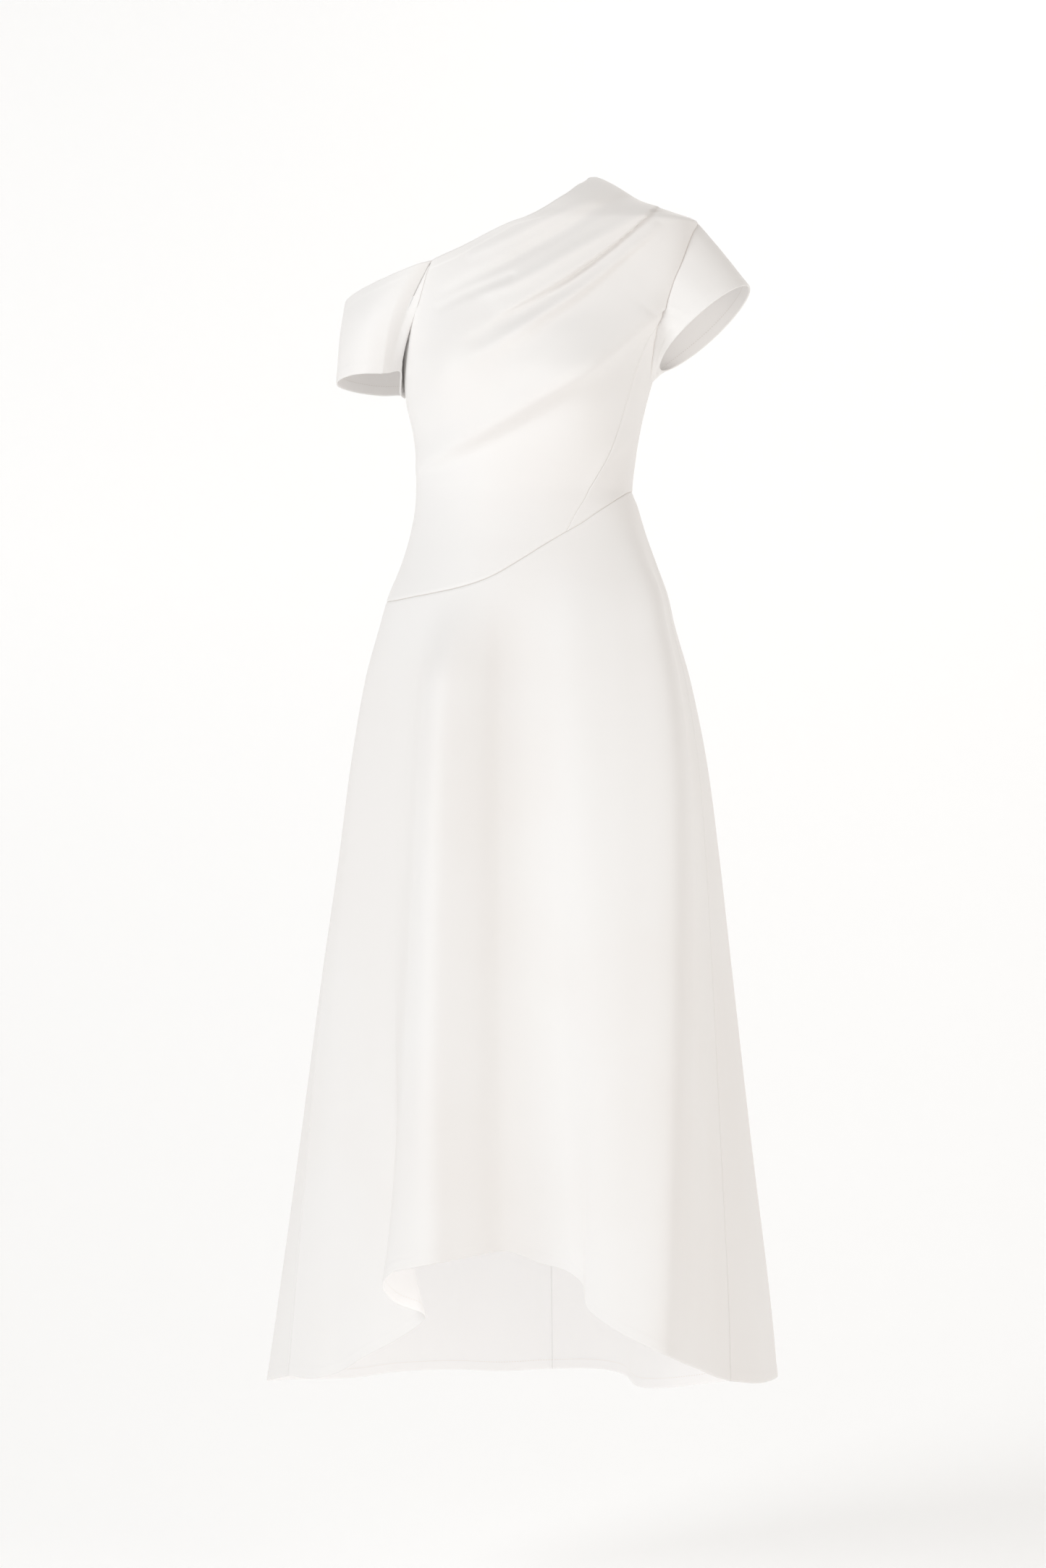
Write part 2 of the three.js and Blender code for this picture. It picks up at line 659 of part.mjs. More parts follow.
function skirtPiece(name, folds, columns, rows, from, to) {
  const surface = skirtSurface(folds);
  const trimAt = (a, up) =>
    (SEAM_TRIM * PROBE.edge) / surface(a, up).distanceTo(surface(a + PROBE.edge, up));
  return cloth(name, columns, rows, (i, j) => {
    const share = j / rows;
    const up = share - (ROW_CROWDING * Math.sin(2 * Math.PI * share)) / (2 * Math.PI);
    const at = lerp(from + trimAt(from, up), to - trimAt(to - PROBE.edge, up), i / columns);
    const within = clamp(at, from + PROBE.column, to - PROBE.column);
    const level = clamp(up, PROBE.up, 1 - PROBE.up);
    const normal = normalOf(surface, within, level, PROBE.column, PROBE.up);
    normal.z *= clamp((1 - up) * SKIRT_FALL.levelEnd, 0, 1);
    return { point: surface(at, up), normal: normal.normalize() };
  });
}

const backCentre = BACK_FOLDS.findIndex((fold) => fold.waist === 180);
const skirtFront = skirtPiece(
  "skirt_front",
  FRONT_FOLDS,
  COLUMNS.skirtFront,
  SKIRT_ROWS.front,
  0,
  FRONT_FOLDS.length - 1,
);
const skirtBackLeft = skirtPiece(
  "skirt_back_left",
  BACK_FOLDS,
  COLUMNS.skirtBack,
  SKIRT_ROWS.back,
  0,
  backCentre,
);
const skirtBackRight = skirtPiece(
  "skirt_back_right",
  BACK_FOLDS,
  COLUMNS.skirtBack,
  SKIRT_ROWS.back,
  backCentre,
  BACK_FOLDS.length - 1,
);

// A sleeve is a ring of columns, each from a place on its hem up to a place on the armhole.
function sleeve(name, edges, hems) {
  const count = edges.length;
  const rowAt = (i, up) => {
    const { point, outward } = edges[(i + count) % count];
    const hem = hems[(i + count) % count];
    return hem.clone().lerp(point, up).addScaledVector(outward, Math.sin(Math.PI * up));
  };
  return cloth(
    name,
    count,
    SLEEVE_ROWS,
    (i, j) => {
      const up = j / SLEEVE_ROWS;
      const around = rowAt(i + 1, up).sub(rowAt(i - 1, up));
      const step = 0.5 / SLEEVE_ROWS;
      const rising = rowAt(i, Math.min(1, up + step)).sub(rowAt(i, Math.max(0, up - step)));
      return { point: rowAt(i, up), normal: around.cross(rising).normalize() };
    },
    { ring: true },
  );
}

// A place on an armhole, lapped over the outside of the panel's edge.
function armholePlace(bearing, height, outward) {
  const point = bodicePoint(bearing, height).addScaledVector(bodiceNormal(bearing, height), LAP);
  return { height, point, outward: new THREE.Vector3(...outward) };
}

// The cap sleeve's ring runs from the shoulder tip down the back, then up the front.
const capFrontRows = [UNDERARM_LEFT, ...upperRows.leftSideFront, ...upperRows.leftFront.slice(0, -1)];
const capBackRows = [...upperRows.leftBack].reverse();
const capEdges = [
  ...capBackRows.map((height) => armholePlace(leftArmhole.back(height), height, CAP_BULGE)),
  ...capFrontRows.map((height) => armholePlace(leftArmhole.front(height), height, CAP_BULGE)),
];
const capHems = capEdges.map(({ height }, i) => {
  const cosine = (2 * (height - UNDERARM_LEFT)) / (SHOULDER_TIP - UNDERARM_LEFT) - 1;
  const sine = Math.sqrt(1 - cosine * cosine) * (i < capBackRows.length ? 1 : -1);
  return new THREE.Vector3(...CAP_HEM.centre)
    .addScaledVector(new THREE.Vector3(...CAP_HEM.reach), cosine)
    .addScaledVector(new THREE.Vector3(...CAP_HEM.back), sine);
});
const capSleeve = sleeve("sleeve_cap", capEdges, capHems);

// The off-shoulder sleeve's ring runs from the front join down the front armhole, up the back one to
// the back join, then along the neckline round the outside of the arm.
const offHem = Object.fromEntries(
  ["across", "along", "height", "outAcross", "outAlong"].map((key) => [key, chart(OFF_HEM, key)]),
);
const offBackJoin = OFF_HEM.findIndex((row) => row.name === "back join");
const offFrontRows = [UNDERARM_RIGHT, ...upperRows.right, ...upperRows.joinFront].reverse();
const offBackRows = [...upperRows.right, ...upperRows.joinBack];
const offHeldCount = offFrontRows.length + offBackRows.length;
const offHemRow = (i) =>
  i < offHeldCount
    ? (offBackJoin * i) / (offHeldCount - 1)
    : lerp(offBackJoin, OFF_HEM.length - 1, (i + 1 - offHeldCount) / (COLUMNS.offNeck - 1));
const offOutward = (i) => [offHem.outAcross(offHemRow(i)), offHem.outAlong(offHemRow(i)), 0];

function offNeckPlace(share, i) {
  const round = (share - 0.5) * Math.PI;
  const out = Math.cos(round);
  const point = new THREE.Vector3(
    OFF_NECK.across - OFF_NECK.reach * out,
    -OFF_NECK.depth * Math.sin(round),
    OFF_NECK.height - OFF_NECK.drop * out,
  );
  return { point, outward: new THREE.Vector3(...offOutward(i + offHeldCount)) };
}

const offEdges = [
  ...offFrontRows.map((height, i) => armholePlace(rightArmhole.front(height), height, offOutward(i))),
  ...offBackRows.map((height, i) =>
    armholePlace(rightArmhole.back(height), height, offOutward(i + offFrontRows.length)),
  ),
  ...evenRows(0, 1, COLUMNS.offNeck).slice(0, -1).map(offNeckPlace),
];
const offHems = offEdges.map((_, i) => {
  const row = offHemRow(i);
  return new THREE.Vector3(offHem.across(row), offHem.along(row), offHem.height(row));
});
const offSleeve = sleeve("sleeve_off_shoulder", offEdges, offHems);

// The zip's tape lies inside the centre back seam.
const tapeHalf = ZIP.tape / 2;
const zipTop = neckline.back(BACK_CENTRE) - ZIP.top;
const zipTape = cloth(
  "zip_tape",
  2,
  ZIP.rows,
  (i, j) => {
    const height = lerp(ZIP.end, zipTop, j / ZIP.rows);
    const turn = ((i - 1) * ZIP.tapeWidth) / 2 / depth.back(height) / RADIANS;
    const normal = normalOf(formPoint, 180 + turn, height, PROBE.bearing, PROBE.height);
    const inwards = HALF_CLOTH + ZIP.gap + tapeHalf;
    return { point: formPoint(180 + turn, height).addScaledVector(normal, -inwards), normal };
  },
  { look: TAPE_LOOK, half: tapeHalf },
);

// A flat outline with round ends, made thick about its own middle.
function plate(shape, thick, name) {
  const geometry = new THREE.ExtrudeGeometry(shape, { depth: thick, bevelEnabled: false, curveSegments: 4 });
  geometry.translate(0, 0, -thick / 2);
  const mesh = new THREE.Mesh(geometry, new THREE.MeshStandardMaterial(METAL_LOOK));
  mesh.name = name;
  return mesh;
}

// A rectangle whose corners are cut back and rounded.
function box(shape, left, bottom, right, top, corner) {
  shape.moveTo(left + corner, bottom);
  shape.lineTo(right - corner, bottom);
  shape.quadraticCurveTo(right, bottom, right, bottom + corner);
  shape.lineTo(right, top - corner);
  shape.quadraticCurveTo(right, top, right - corner, top);
  shape.lineTo(left + corner, top);
  shape.quadraticCurveTo(left, top, left, top - corner);
  shape.lineTo(left, bottom + corner);
  shape.quadraticCurveTo(left, bottom, left + corner, bottom);
  return shape;
}

// The slider's side outline: a base, and an eye under a crown, which holds the pull.
function sliderPiece() {
  const foot = HALF_CLOTH + SLIDER.gap;
  const half = SLIDER.length / 2;
  const floor = foot + SLIDER.base;
  const top = floor + SLIDER.eye + SLIDER.crown;
  const outline = box(new THREE.Shape(), -half, foot, half, top, SLIDER.crown);
  const eye = SLIDER.eyeLength / 2;
  outline.holes.push(box(new THREE.Path(), -eye, floor, eye, floor + SLIDER.eye, SLIDER.eye / 4));
  const mesh = plate(outline, SLIDER.width, "zip_slider");
  mesh.rotation.y = -Math.PI / 2;
  return mesh;
}

// The pull hangs by the bar over its window, which turns in the slider's eye.
function pullPiece() {
  const inside = SLIDER.width / 2 + PULL.gap;
  const outside = inside + PULL.leg;
  const bar = PULL.bar / 2;
  const end = -PULL.length;
  const outline = new THREE.Shape();
  outline.moveTo(-outside, bar);
  outline.lineTo(-outside, -bar - PULL.window);
  outline.lineTo(-PULL.tip / 2, end + PULL.tip / 2);
  outline.absarc(0, end + PULL.tip / 2, PULL.tip / 2, Math.PI, 2 * Math.PI, false);
  outline.lineTo(outside, -bar - PULL.window);
  outline.lineTo(outside, bar);
  outline.closePath();
  outline.holes.push(box(new THREE.Path(), -inside, -bar - PULL.window, inside, -bar, PULL.corner));
  const mesh = plate(outline, PULL.thick, "zip_pull");
  mesh.rotation.x = Math.PI / 2;
  return mesh;
}

const zipHardware = new THREE.Group();
const sliderHeight = neckline.back(BACK_CENTRE) - SLIDER.below;
const sliderNormal = normalOf(formPoint, 180, sliderHeight, PROBE.bearing, PROBE.height);
const pull = new THREE.Group();
pull.add(pullPiece());
pull.position.y = HALF_CLOTH + SLIDER.gap + SLIDER.base + SLIDER.eye / 2;
zipHardware.add(sliderPiece(), pull);
zipHardware.position.copy(formPoint(180, sliderHeight));
zipHardware.rotation.x = Math.atan2(sliderNormal.z, sliderNormal.y);

const dress = new THREE.Group();
dress.add(
  bodiceFront,
  bodiceSideFront,
  bodiceBackLeft,
  bodiceBackRight,
  skirtFront,
  skirtBackLeft,
  skirtBackRight,
  capSleeve,
  offSleeve,
  zipTape,
  zipHardware,
);
dress.position.copy(HELD_AT).negate();

export default dress;
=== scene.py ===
"""The visual model of a one-shoulder dress in ivory crepe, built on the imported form.

Lengths in the tables are in millimetres, in the pattern's own frame: heights start at the corner
where the slanting waist seam meets the left side, the front faces -Y and the wearer's left is +X.
Bearings go round the body: 0 at the centre front, 90 at the wearer's left, 180 at the centre back.
"""
from __future__ import annotations

import logging
import math
from collections.abc import Callable, Mapping, Sequence
from dataclasses import dataclass
from enum import Enum
from typing import Any, NamedTuple

import bmesh
import bpy
import numpy as np
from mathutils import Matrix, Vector


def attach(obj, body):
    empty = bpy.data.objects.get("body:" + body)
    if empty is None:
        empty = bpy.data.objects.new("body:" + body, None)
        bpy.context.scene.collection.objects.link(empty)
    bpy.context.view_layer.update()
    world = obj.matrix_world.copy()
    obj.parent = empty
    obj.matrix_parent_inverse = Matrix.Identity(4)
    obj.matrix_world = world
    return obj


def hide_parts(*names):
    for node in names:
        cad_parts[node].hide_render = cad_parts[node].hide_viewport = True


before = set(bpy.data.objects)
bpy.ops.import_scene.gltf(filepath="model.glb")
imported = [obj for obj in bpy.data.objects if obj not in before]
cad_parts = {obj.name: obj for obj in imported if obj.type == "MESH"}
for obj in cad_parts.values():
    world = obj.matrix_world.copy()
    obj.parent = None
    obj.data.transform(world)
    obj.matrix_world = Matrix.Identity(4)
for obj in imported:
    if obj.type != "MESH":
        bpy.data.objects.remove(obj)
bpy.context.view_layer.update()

LOG = logging.getLogger("dress")
Points = np.ndarray
Colour = tuple[float, float, float]

# The mount at the left shoulder, which is the part's origin.
HELD_AT = np.array([140.0, 0.0, 328.0])
MM_PER_METRE = 1000.0

# Heights on the worn form. The side front seam meets the armhole at SPLIT, and above OFF_JOIN the
# off-shoulder sleeve is joined to the neckline's corner.
UNDERARM_LEFT = 122.0
UNDERARM_RIGHT = 124.0
SHOULDER_TIP = 303.0
SPLIT = 186.0
OFF_JOIN = 206.0

# The centre back's place along the neckline, and its bearing.
BACK_CENTRE = 0.38
BACK_BEARING = 180.0

# Rounds that settle where a panel's slanting sides meet the waist seam.
WAIST_ROUNDS = 12

# What a distance to a side is when the piece has no such side.
FAR_MM = 400.0


class Section(NamedTuple):
    """One level of the worn form: half widths and depths in millimetres."""

    height: float
    right: float
    left: float
    front: float
    back: float


class Armhole(NamedTuple):
    """The bearings of an armhole's front and back edges at one height."""

    height: float
    front: float
    back: float


class NeckPlace(NamedTuple):
    """The neckline's height at a share of the way from the right armhole to the neck point."""

    share: float
    front: float
    back: float


class SkirtFold(NamedTuple):
    """A column of the skirt, from its bearing on the waist seam to its place in the hem.

    Swing is how far the hem itself turns sideways, and early is the share of the fold that stands
    already a little below the waist seam.
    """

    waist: float
    across: float
    along: float
    height: float
    swing: float
    early: float


class HemPlace(NamedTuple):
    """A place on a sleeve's hem, and how far the cloth stands out midway up from it."""

    across: float
    along: float
    height: float
    out_across: float
    out_along: float


SECTIONS = (
    Section(-1060, 300, 300, 270, 257),
    Section(-942, 284, 289, 260, 248),
    Section(-743, 258, 264, 238, 231),
    Section(-545, 233, 241, 210, 209),
    Section(-413, 214, 226, 188, 190),
    Section(-314, 200, 213, 169, 173),
    Section(-215, 182, 193, 146, 151),
    Section(-149, 163, 174, 128, 133),
    Section(-122, 155, 168, 120, 124),
    Section(-83, 139, 153.5, 108, 111),
    Section(-50, 129, 141, 98, 100),
    Section(-17, 123, 130.5, 91, 90),
    Section(0, 122, 124.5, 89, 87),
    Section(35, 121.5, 128, 94, 88),
    Section(66, 125, 133, 105, 93),
    Section(103, 133, 141.5, 118, 100),
    Section(135, 136, 151, 124, 104),
    Section(165, 139, 163, 121, 106),
    Section(200, 149, 177, 111, 104),
    Section(230, 157, 188, 101, 99),
    Section(257, 160, 195, 91, 93),
    Section(285, 148, 199, 80, 86),
    Section(303, 136, 199.5, 73, 78),
    Section(314, 130, 174, 67, 71),
    Section(327, 120, 138.5, 60, 62),
    Section(340, 108, 117, 47, 48),
    Section(350, 95, 101, 32, 32),
    Section(358, 78, 83, 12, 12),
)

# The slanting waist seam: bearing and height.
WAIST_SEAM = (
    (-90, -125.5),
    (-65, -125.5),
    (-43, -121.5),
    (-32, -118),
    (-23, -114),
    (-12, -106),
    (-4, -96.5),
    (6, -80.5),
    (13, -69),
    (23, -54.5),
    (34, -41),
    (43, -29.5),
    (52, -20),
    (64, -10.5),
    (79, -3),
    (90, -0.5),
)

# The side front seam, from the waist seam up to the armhole: height and bearing.
SIDE_FRONT_SEAM = (
    (-60, 23),
    (-50, 26),
    (-29, 32),
    (-6, 41),
    (22, 50),
    (48, 57),
    (72, 61),
    (107, 64),
    (141, 65.5),
    (186, 66),
)

LEFT_ARMHOLE = (
    Armhole(122, 90, 90),
    Armhole(130, 83, 101),
    Armhole(150, 76, 107),
    Armhole(170, 70.5, 109),
    Armhole(186, 66, 110),
    Armhole(230, 65.5, 109),
    Armhole(266, 70, 106),
    Armhole(290, 78, 100),
    Armhole(303, 90, 90),
)
RIGHT_ARMHOLE = (
    Armhole(124, -90, 270),
    Armhole(130, -85, 264),
    Armhole(150, -79, 254),
    Armhole(175, -68, 244),
    Armhole(193, -55, 234),
    Armhole(206, -46, 227),
    Armhole(257, -35.5, 216),
)
NECKLINE = (
    NeckPlace(0, 257, 252),
    NeckPlace(0.12, 270.5, 262),
    NeckPlace(0.24, 290.5, 277),
    NeckPlace(0.33, 307.5, 290),
    NeckPlace(0.39, 318.5, 299),
    NeckPlace(0.47, 330, 311),
    NeckPlace(0.6, 346, 328),
    NeckPlace(0.8, 356.5, 348),
    NeckPlace(1, 358, 358),
)

# The skirt's columns: waist, across, along, height, swing, early. The front one runs from the right
# side seam to the left one, and the back one on from there.
FRONT_FOLDS = (
    SkirtFold(-90, -253, -98, -999, 0, 0),
    SkirtFold(-79, -218, -134, -996, 0, 0),
    SkirtFold(-70, -185, -152, -986, 0, 0.1),
    SkirtFold(-62, -153, -168, -966, 0, 0.15),
    SkirtFold(-55, -134, -182, -945, 19, 0.15),
    SkirtFold(-49, -120, -194, -923, 36, 0.15),
    SkirtFold(-44, -111, -208, -911, 29, 0.15),
    SkirtFold(-40, -106, -224, -899, -1, 0.2),
    SkirtFold(-35, -100, -246, -880, -19, 0.4),
    SkirtFold(-30, -92, -266, -861, -15, 0.65),
    SkirtFold(-25, -76, -281, -853, -4, 0.85),
    SkirtFold(-20.5, -57, -284, -848, 0, 0.95),
    SkirtFold(-15.5, -38, -274, -845, 0, 1),
    SkirtFold(-9.5, -12, -257, -841, 0, 1),
    SkirtFold(-3, 16, -234, -839, 0, 1),
    SkirtFold(5, 50, -224, -852, 0, 1),
    SkirtFold(15, 80, -228, -860, 0, 0.9),
    SkirtFold(25, 98, -248, -872, 2, 0.7),
    SkirtFold(35, 112, -267, -896, -3, 0.55),
    SkirtFold(46, 142, -282, -917, 0, 0.5),
    SkirtFold(58, 187, -284, -938, 0, 0.55),
    SkirtFold(68, 208, -252, -953, 0, 0.5),
    SkirtFold(77, 222, -196, -969, 0, 0.3),
    SkirtFold(85, 234, -132, -985, -3, 0.1),
    SkirtFold(90, 245, -92, -996, 0, 0),
)
BACK_FOLDS = (
    SkirtFold(90, 245, -92, -996, 0, 0),
    SkirtFold(98, 274, -42, -1005, 0, 0.1),
    SkirtFold(107, 289, 14, -1006, 0, 0.1),
    SkirtFold(115, 268, 54, -1012, 0, 0.1),
    SkirtFold(124, 212, 66, -1022, 0, 0.1),
    SkirtFold(134, 154, 84, -1032, 0, 0.15),
    SkirtFold(144, 118, 124, -1037, 0, 0.15),
    SkirtFold(155, 94, 190, -1033, 0, 0.15),
    SkirtFold(167, 54, 236, -1034, 0, 0.15),
    SkirtFold(180, 0, 255, -1038, 0, 0.15),
    SkirtFold(193, -60, 240, -1040, 0, 0.15),
    SkirtFold(206, -122, 258, -1042, 0, 0.15),
    SkirtFold(220, -184, 224, -1041, 0, 0.15),
    SkirtFold(235, -228, 148, -1038, 0, 0.15),
    SkirtFold(248, -282, 84, -1031, 0, 0.1),
    SkirtFold(260, -298, 4, -1021, 0, 0.1),
    SkirtFold(270, -253, -98, -999, 0, 0),
)

# The off-shoulder sleeve's hem: from behind the front crease in along the bodice, to the back join,
# and round the outside of the arm to the crease.
OFF_HEM = (
    HemPlace(-147, -60, 132, -4, -6),
    HemPlace(-134, -46, 134, -1.5, -2),
    HemPlace(-138.5, -20, 113, -1, -1),
    HemPlace(-141, 22, 111, -4, 3),
    HemPlace(-150, 48, 117, -7, 6),
    HemPlace(-176, 58, 118, -5, 6),
    HemPlace(-203, 42, 121, -2, 4),
    HemPlace(-215, 6, 124, -1, 0),
    HemPlace(-208, -32, 127, -2, -4),
    HemPlace(-190, -57, 130, -3, -8),
    HemPlace(-170, -67, 131, -5, -9),
    HemPlace(-152, -64, 131, -6, -9),
)


def smoothstep(low: float, high: float, values: Points) -> Points:
    """Returns 0 below low, 1 above high and a smooth rise between them."""
    share = np.clip((values - low) / (high - low), 0.0, 1.0)
    return share * share * (3.0 - 2.0 * share)


def bell(values: Points) -> Points:
    """Returns a round hump of height 1 at 0."""
    return np.exp(-values * values)


def mix(start: Any, end: Any, share: Any) -> Any:
    """Returns the value at a share of the way from start to end."""
    return start + (end - start) * share


class Curve:
    """A smooth curve through a table's points, without overshoot."""

    def __init__(self, points: Sequence[Sequence[float]]) -> None:
        """Prepares the slope at each point.

        Args:
            points: pairs of a place and its value, by rising place.
        """
        self.places = np.array([float(pair[0]) for pair in points])
        self.values = np.array([float(pair[1]) for pair in points])
        slopes = np.diff(self.values) / np.diff(self.places)
        before, after = slopes[:-1], slopes[1:]
        total = np.where(before * after > 0, before + after, 1.0)
        inner = np.where(before * after > 0, 2 * before * after / total, 0.0)
        self.tangents = np.concatenate([slopes[:1], inner, slopes[-1:]])

    def __call__(self, at: Points | float) -> Points:
        """Returns the curve's value at each place.

        Args:
            at: one place or an array of them.

        Returns:
            The values, in the same layout.
        """
        x = np.clip(at, self.places[0], self.places[-1])
        i = np.clip(np.searchsorted(self.places, x, side="right") - 1, 0, len(self.places) - 2)
        step = self.places[i + 1] - self.places[i]
        t = (x - self.places[i]) / step
        rest = 1.0 - t
        ends = self.values[i] * rest * rest * (1 + 2 * t) + self.values[i + 1] * t * t * (3 - 2 * t)
        pulls = self.tangents[i] * rest - self.tangents[i + 1] * t
        return ends + pulls * step * t * rest


class Chart:
    """A rounded curve through evenly numbered values."""

    def __init__(self, values: Sequence[float]) -> None:
        """Adds one value beyond each end, in line with the last two."""
        inner = np.array(values, dtype=float)
        first = 2 * inner[0] - inner[1]
        last = 2 * inner[-1] - inner[-2]
        self.values = np.concatenate([[first], inner, [last]])
        self.count = len(inner)

    def __call__(self, at: Points | float) -> Points:
        """Returns the value at each fractional row number."""
        i = np.clip(np.floor(at).astype(int), 0, self.count - 2)
        t = at - i
        a, b, c, d = (self.values[i + k] for k in range(4))
        return b + 0.5 * t * (c - a + t * (2 * a - 5 * b + 4 * c - d + t * (3 * (b - c) + d - a)))


@dataclass(frozen=True)
class DrapeFold:
    """A fold drawn across the draped front, seen from the front.

    It rises over the widths above and below its line. One with an edge is a laid pleat, which stands
    up on its upper side only. It fades out from start by a power of a sine.
    """

    points: tuple[tuple[float, float], ...]
    rise: float
    above: float
    below: float
    edge: float = 0.0
    start: float = 0.12
    power: float = 0.6

    def line(self, samples: int = 40) -> Points:
        """Returns points along the fold's smooth line."""
        at = np.linspace(0, len(self.points) - 1, samples)
        return np.stack([Chart(values)(at) for values in zip(*self.points)], axis=-1)

    def lift(self, x: Points, z: Points) -> Points:
        """Returns how far the fold lifts the cloth at each place.

        Args:
            x: places across the front.
            z: heights.

        Returns:
            The lift in millimetres.
        """
        line = self.line()
        best = np.full(x.shape, 1e9)
        share = np.zeros(x.shape)
        for i in range(len(line) - 1):
            dx, dz = line[i + 1] - line[i]
            t = np.clip(((x - line[i, 0]) * dx + (z - line[i, 1]) * dz) / (dx * dx + dz * dz), 0, 1)
            off_x, off_z = x - line[i, 0] - t * dx, z - line[i, 1] - t * dz
            away = np.hypot(off_x, off_z)
            side = np.where(dx * off_z - dz * off_x < 0, 1.0, -1.0)
            nearer = away < np.abs(best)
            best = np.where(nearer, away * side, best)
            share = np.where(nearer, (i + t) / (len(line) - 1), share)
        fade = np.sin(np.pi * mix(self.start, 1.0, share)) ** self.power
        shape = np.where(best > 0, bell(best / self.above), bell(best / self.below))
        if self.edge:
            shape = bell(best / self.above) * smoothstep(-self.edge, self.edge, best)
        return self.rise * fade * shape


DRAPES = {
    "main pleat": DrapeFold(
        ((168, 332), (154, 319), (137, 298), (111, 272), (85, 250), (60, 231), (37, 216), (-13, 187)),
        rise=6.2,
        above=32,
        below=2,
        edge=1.3,
        start=0.04,
    ),
    "valley under the pleat": DrapeFold(
        ((124, 278), (93, 250), (66, 228), (37, 208), (4, 188), (-19, 174), (-48, 156)),
        rise=-4.8,
        above=6,
        below=10,
        start=0.0,
        power=0.8,
    ),
    "upper crest": DrapeFold(
        ((158, 297), (146, 284), (131, 269), (102, 240), (73, 215), (34, 187), (-2, 162), (-40, 141)),
        rise=5,
        above=8,
        below=6,
        start=0.0,
    ),
    "middle valley": DrapeFold(
        ((142, 268), (125, 251), (99, 226), (74, 200), (48, 179), (22, 156), (-34, 125), (-74, 102)),
        rise=-5,
        above=10,
        below=19,
        start=0.0,
        power=1.0,
    ),
    "long low crest": DrapeFold(
        ((152, 192), (139, 180), (87, 130), (31, 95), (-33, 60), (-90, 36), (-126, 20)),
        rise=10.5,
        above=20,
        below=9,
    ),
    "valley under the long crest": DrapeFold(
        ((132, 152), (119, 138), (93, 116), (60, 92), (31, 75), (-15, 52), (-64, 31)),
        rise=-3.4,
        above=7,
        below=22,
    ),
    "shoulder crest": DrapeFold(
        ((170, 298), (177, 255), (173, 210), (165, 165)),
        rise=6,
        above=26,
        below=26,
    ),
    "neck valley": DrapeFold(
        ((138, 342), (120, 328), (83, 304), (44, 279), (17, 264), (-6, 250), (-40, 234), (-86, 212)),
        rise=-4.6,
        above=8,
        below=8,
    ),
    "neck crest": DrapeFold(
        ((150, 320), (136, 308), (98, 282), (65, 261), (25, 235), (-4, 222), (-39, 213)),
        rise=3.8,
        above=8,
        below=7,
    ),
    "lower neck valley": DrapeFold(
        ((0, 234), (-29, 223), (-56, 213), (-86, 198)), rise=-2.6, above=6, below=7, start=0.3
    ),
    "upper neck fold": DrapeFold(
        ((86, 324), (49, 307), (16, 289), (-18, 272), (-52, 258)), rise=2.6, above=8, below=6
    ),
    "low side fold": DrapeFold(((134, 66), (110, 40), (97, 22), (79, -15)), rise=1.9, above=8, below=5),
}


def columns_of(table: Sequence[Sequence[float]]) -> list[Curve]:
    """Returns a curve for each column of a table, over its first column."""
    places, *columns = zip(*table)
    return [Curve(list(zip(places, values))) for values in columns]


class WornForm:
    """The body that the cloth hangs on, and the lines drawn on it."""

    bust_bearing = 29.0
    bust_height = 128.0
    bust_rise = 11.0
    bust_reach = 16.0
    bust_drop = 46.0
    forward = 1.8
    side_fade = 2.5

    def __init__(self) -> None:
        """Reads the tables into curves."""
        self.right, self.left, self.front, self.back = columns_of(SECTIONS)
        self.waist = Curve(WAIST_SEAM)
        self.side_front = Curve(SIDE_FRONT_SEAM)
        self.left_front, self.left_back = columns_of(LEFT_ARMHOLE)
        self.right_front, self.right_back = columns_of(RIGHT_ARMHOLE)
        self.neck_front, self.neck_back = columns_of(NECKLINE)

    def left_of_front(self, height: Points) -> Points:
        """Returns the bearing of the front's left edge: the side front seam, then the armhole."""
        return np.where(height < SPLIT, self.side_front(height), self.left_front(height))

    def waist_height(self, bearing: Points) -> Points:
        """Returns the waist seam's height, the same behind as in front."""
        across = np.degrees(np.arcsin(np.clip(np.sin(np.radians(bearing)), -1, 1)))
        return self.waist(across)

    def point(self, bearing: Points, height: Points, reach: Points | float = 1.0) -> Points:
        """Returns points on the form.

        Args:
            bearing: degrees round the body.
            height: millimetres above the waist corner.
            reach: share of the form's own half width and depth.

        Returns:
            An array with x, y and z in its last axis.
        """
        sine, cosine = np.sin(np.radians(bearing)), np.cos(np.radians(bearing))
        across = np.where(sine < 0, self.right(height), self.left(height))
        along = np.where(cosine > 0, self.front(height), self.back(height))
        return np.stack([across * sine * reach, -along * cosine * reach, height + 0 * sine], axis=-1)

    def bodice(self, bearing: Points, height: Points) -> Points:
        """Returns points of the bodice, with the bust and the drape's folds.

        Args:
            bearing: degrees round the body.
            height: millimetres above the waist corner.

        Returns:
            An array with x, y and z in its last axis.
        """
        point = self.point(bearing, height)
        facing = np.cos(np.radians(bearing))
        fade = np.clip(facing * self.side_fade, 0, 1)
        up = (height - self.bust_height) / self.bust_drop
        around = (np.abs(bearing) - self.bust_bearing) / self.bust_reach
        rise = self.bust_rise * bell(up) * bell(around) * (facing > 0)
        for fold in DRAPES.values():
            rise = rise + fade * fold.lift(point[..., 0], point[..., 2])
        flat = point * np.array([1.0, self.forward, 0.0])
        flat /= np.linalg.norm(flat, axis=-1, keepdims=True)
        return point + flat * rise[..., None]


FORM = WornForm()


class Edge(Enum):
    """What ends a cloth piece at one of its four sides."""

    SEAM = "seam"
    FREE = "free"
    NONE = "none"


def add_object(name: str, data: bpy.types.ID) -> bpy.types.Object:
    """Makes an object of a mesh, curve, camera or light, and links it to the scene."""
    obj = bpy.data.objects.new(name, data)
    bpy.context.scene.collection.objects.link(obj)
    return obj


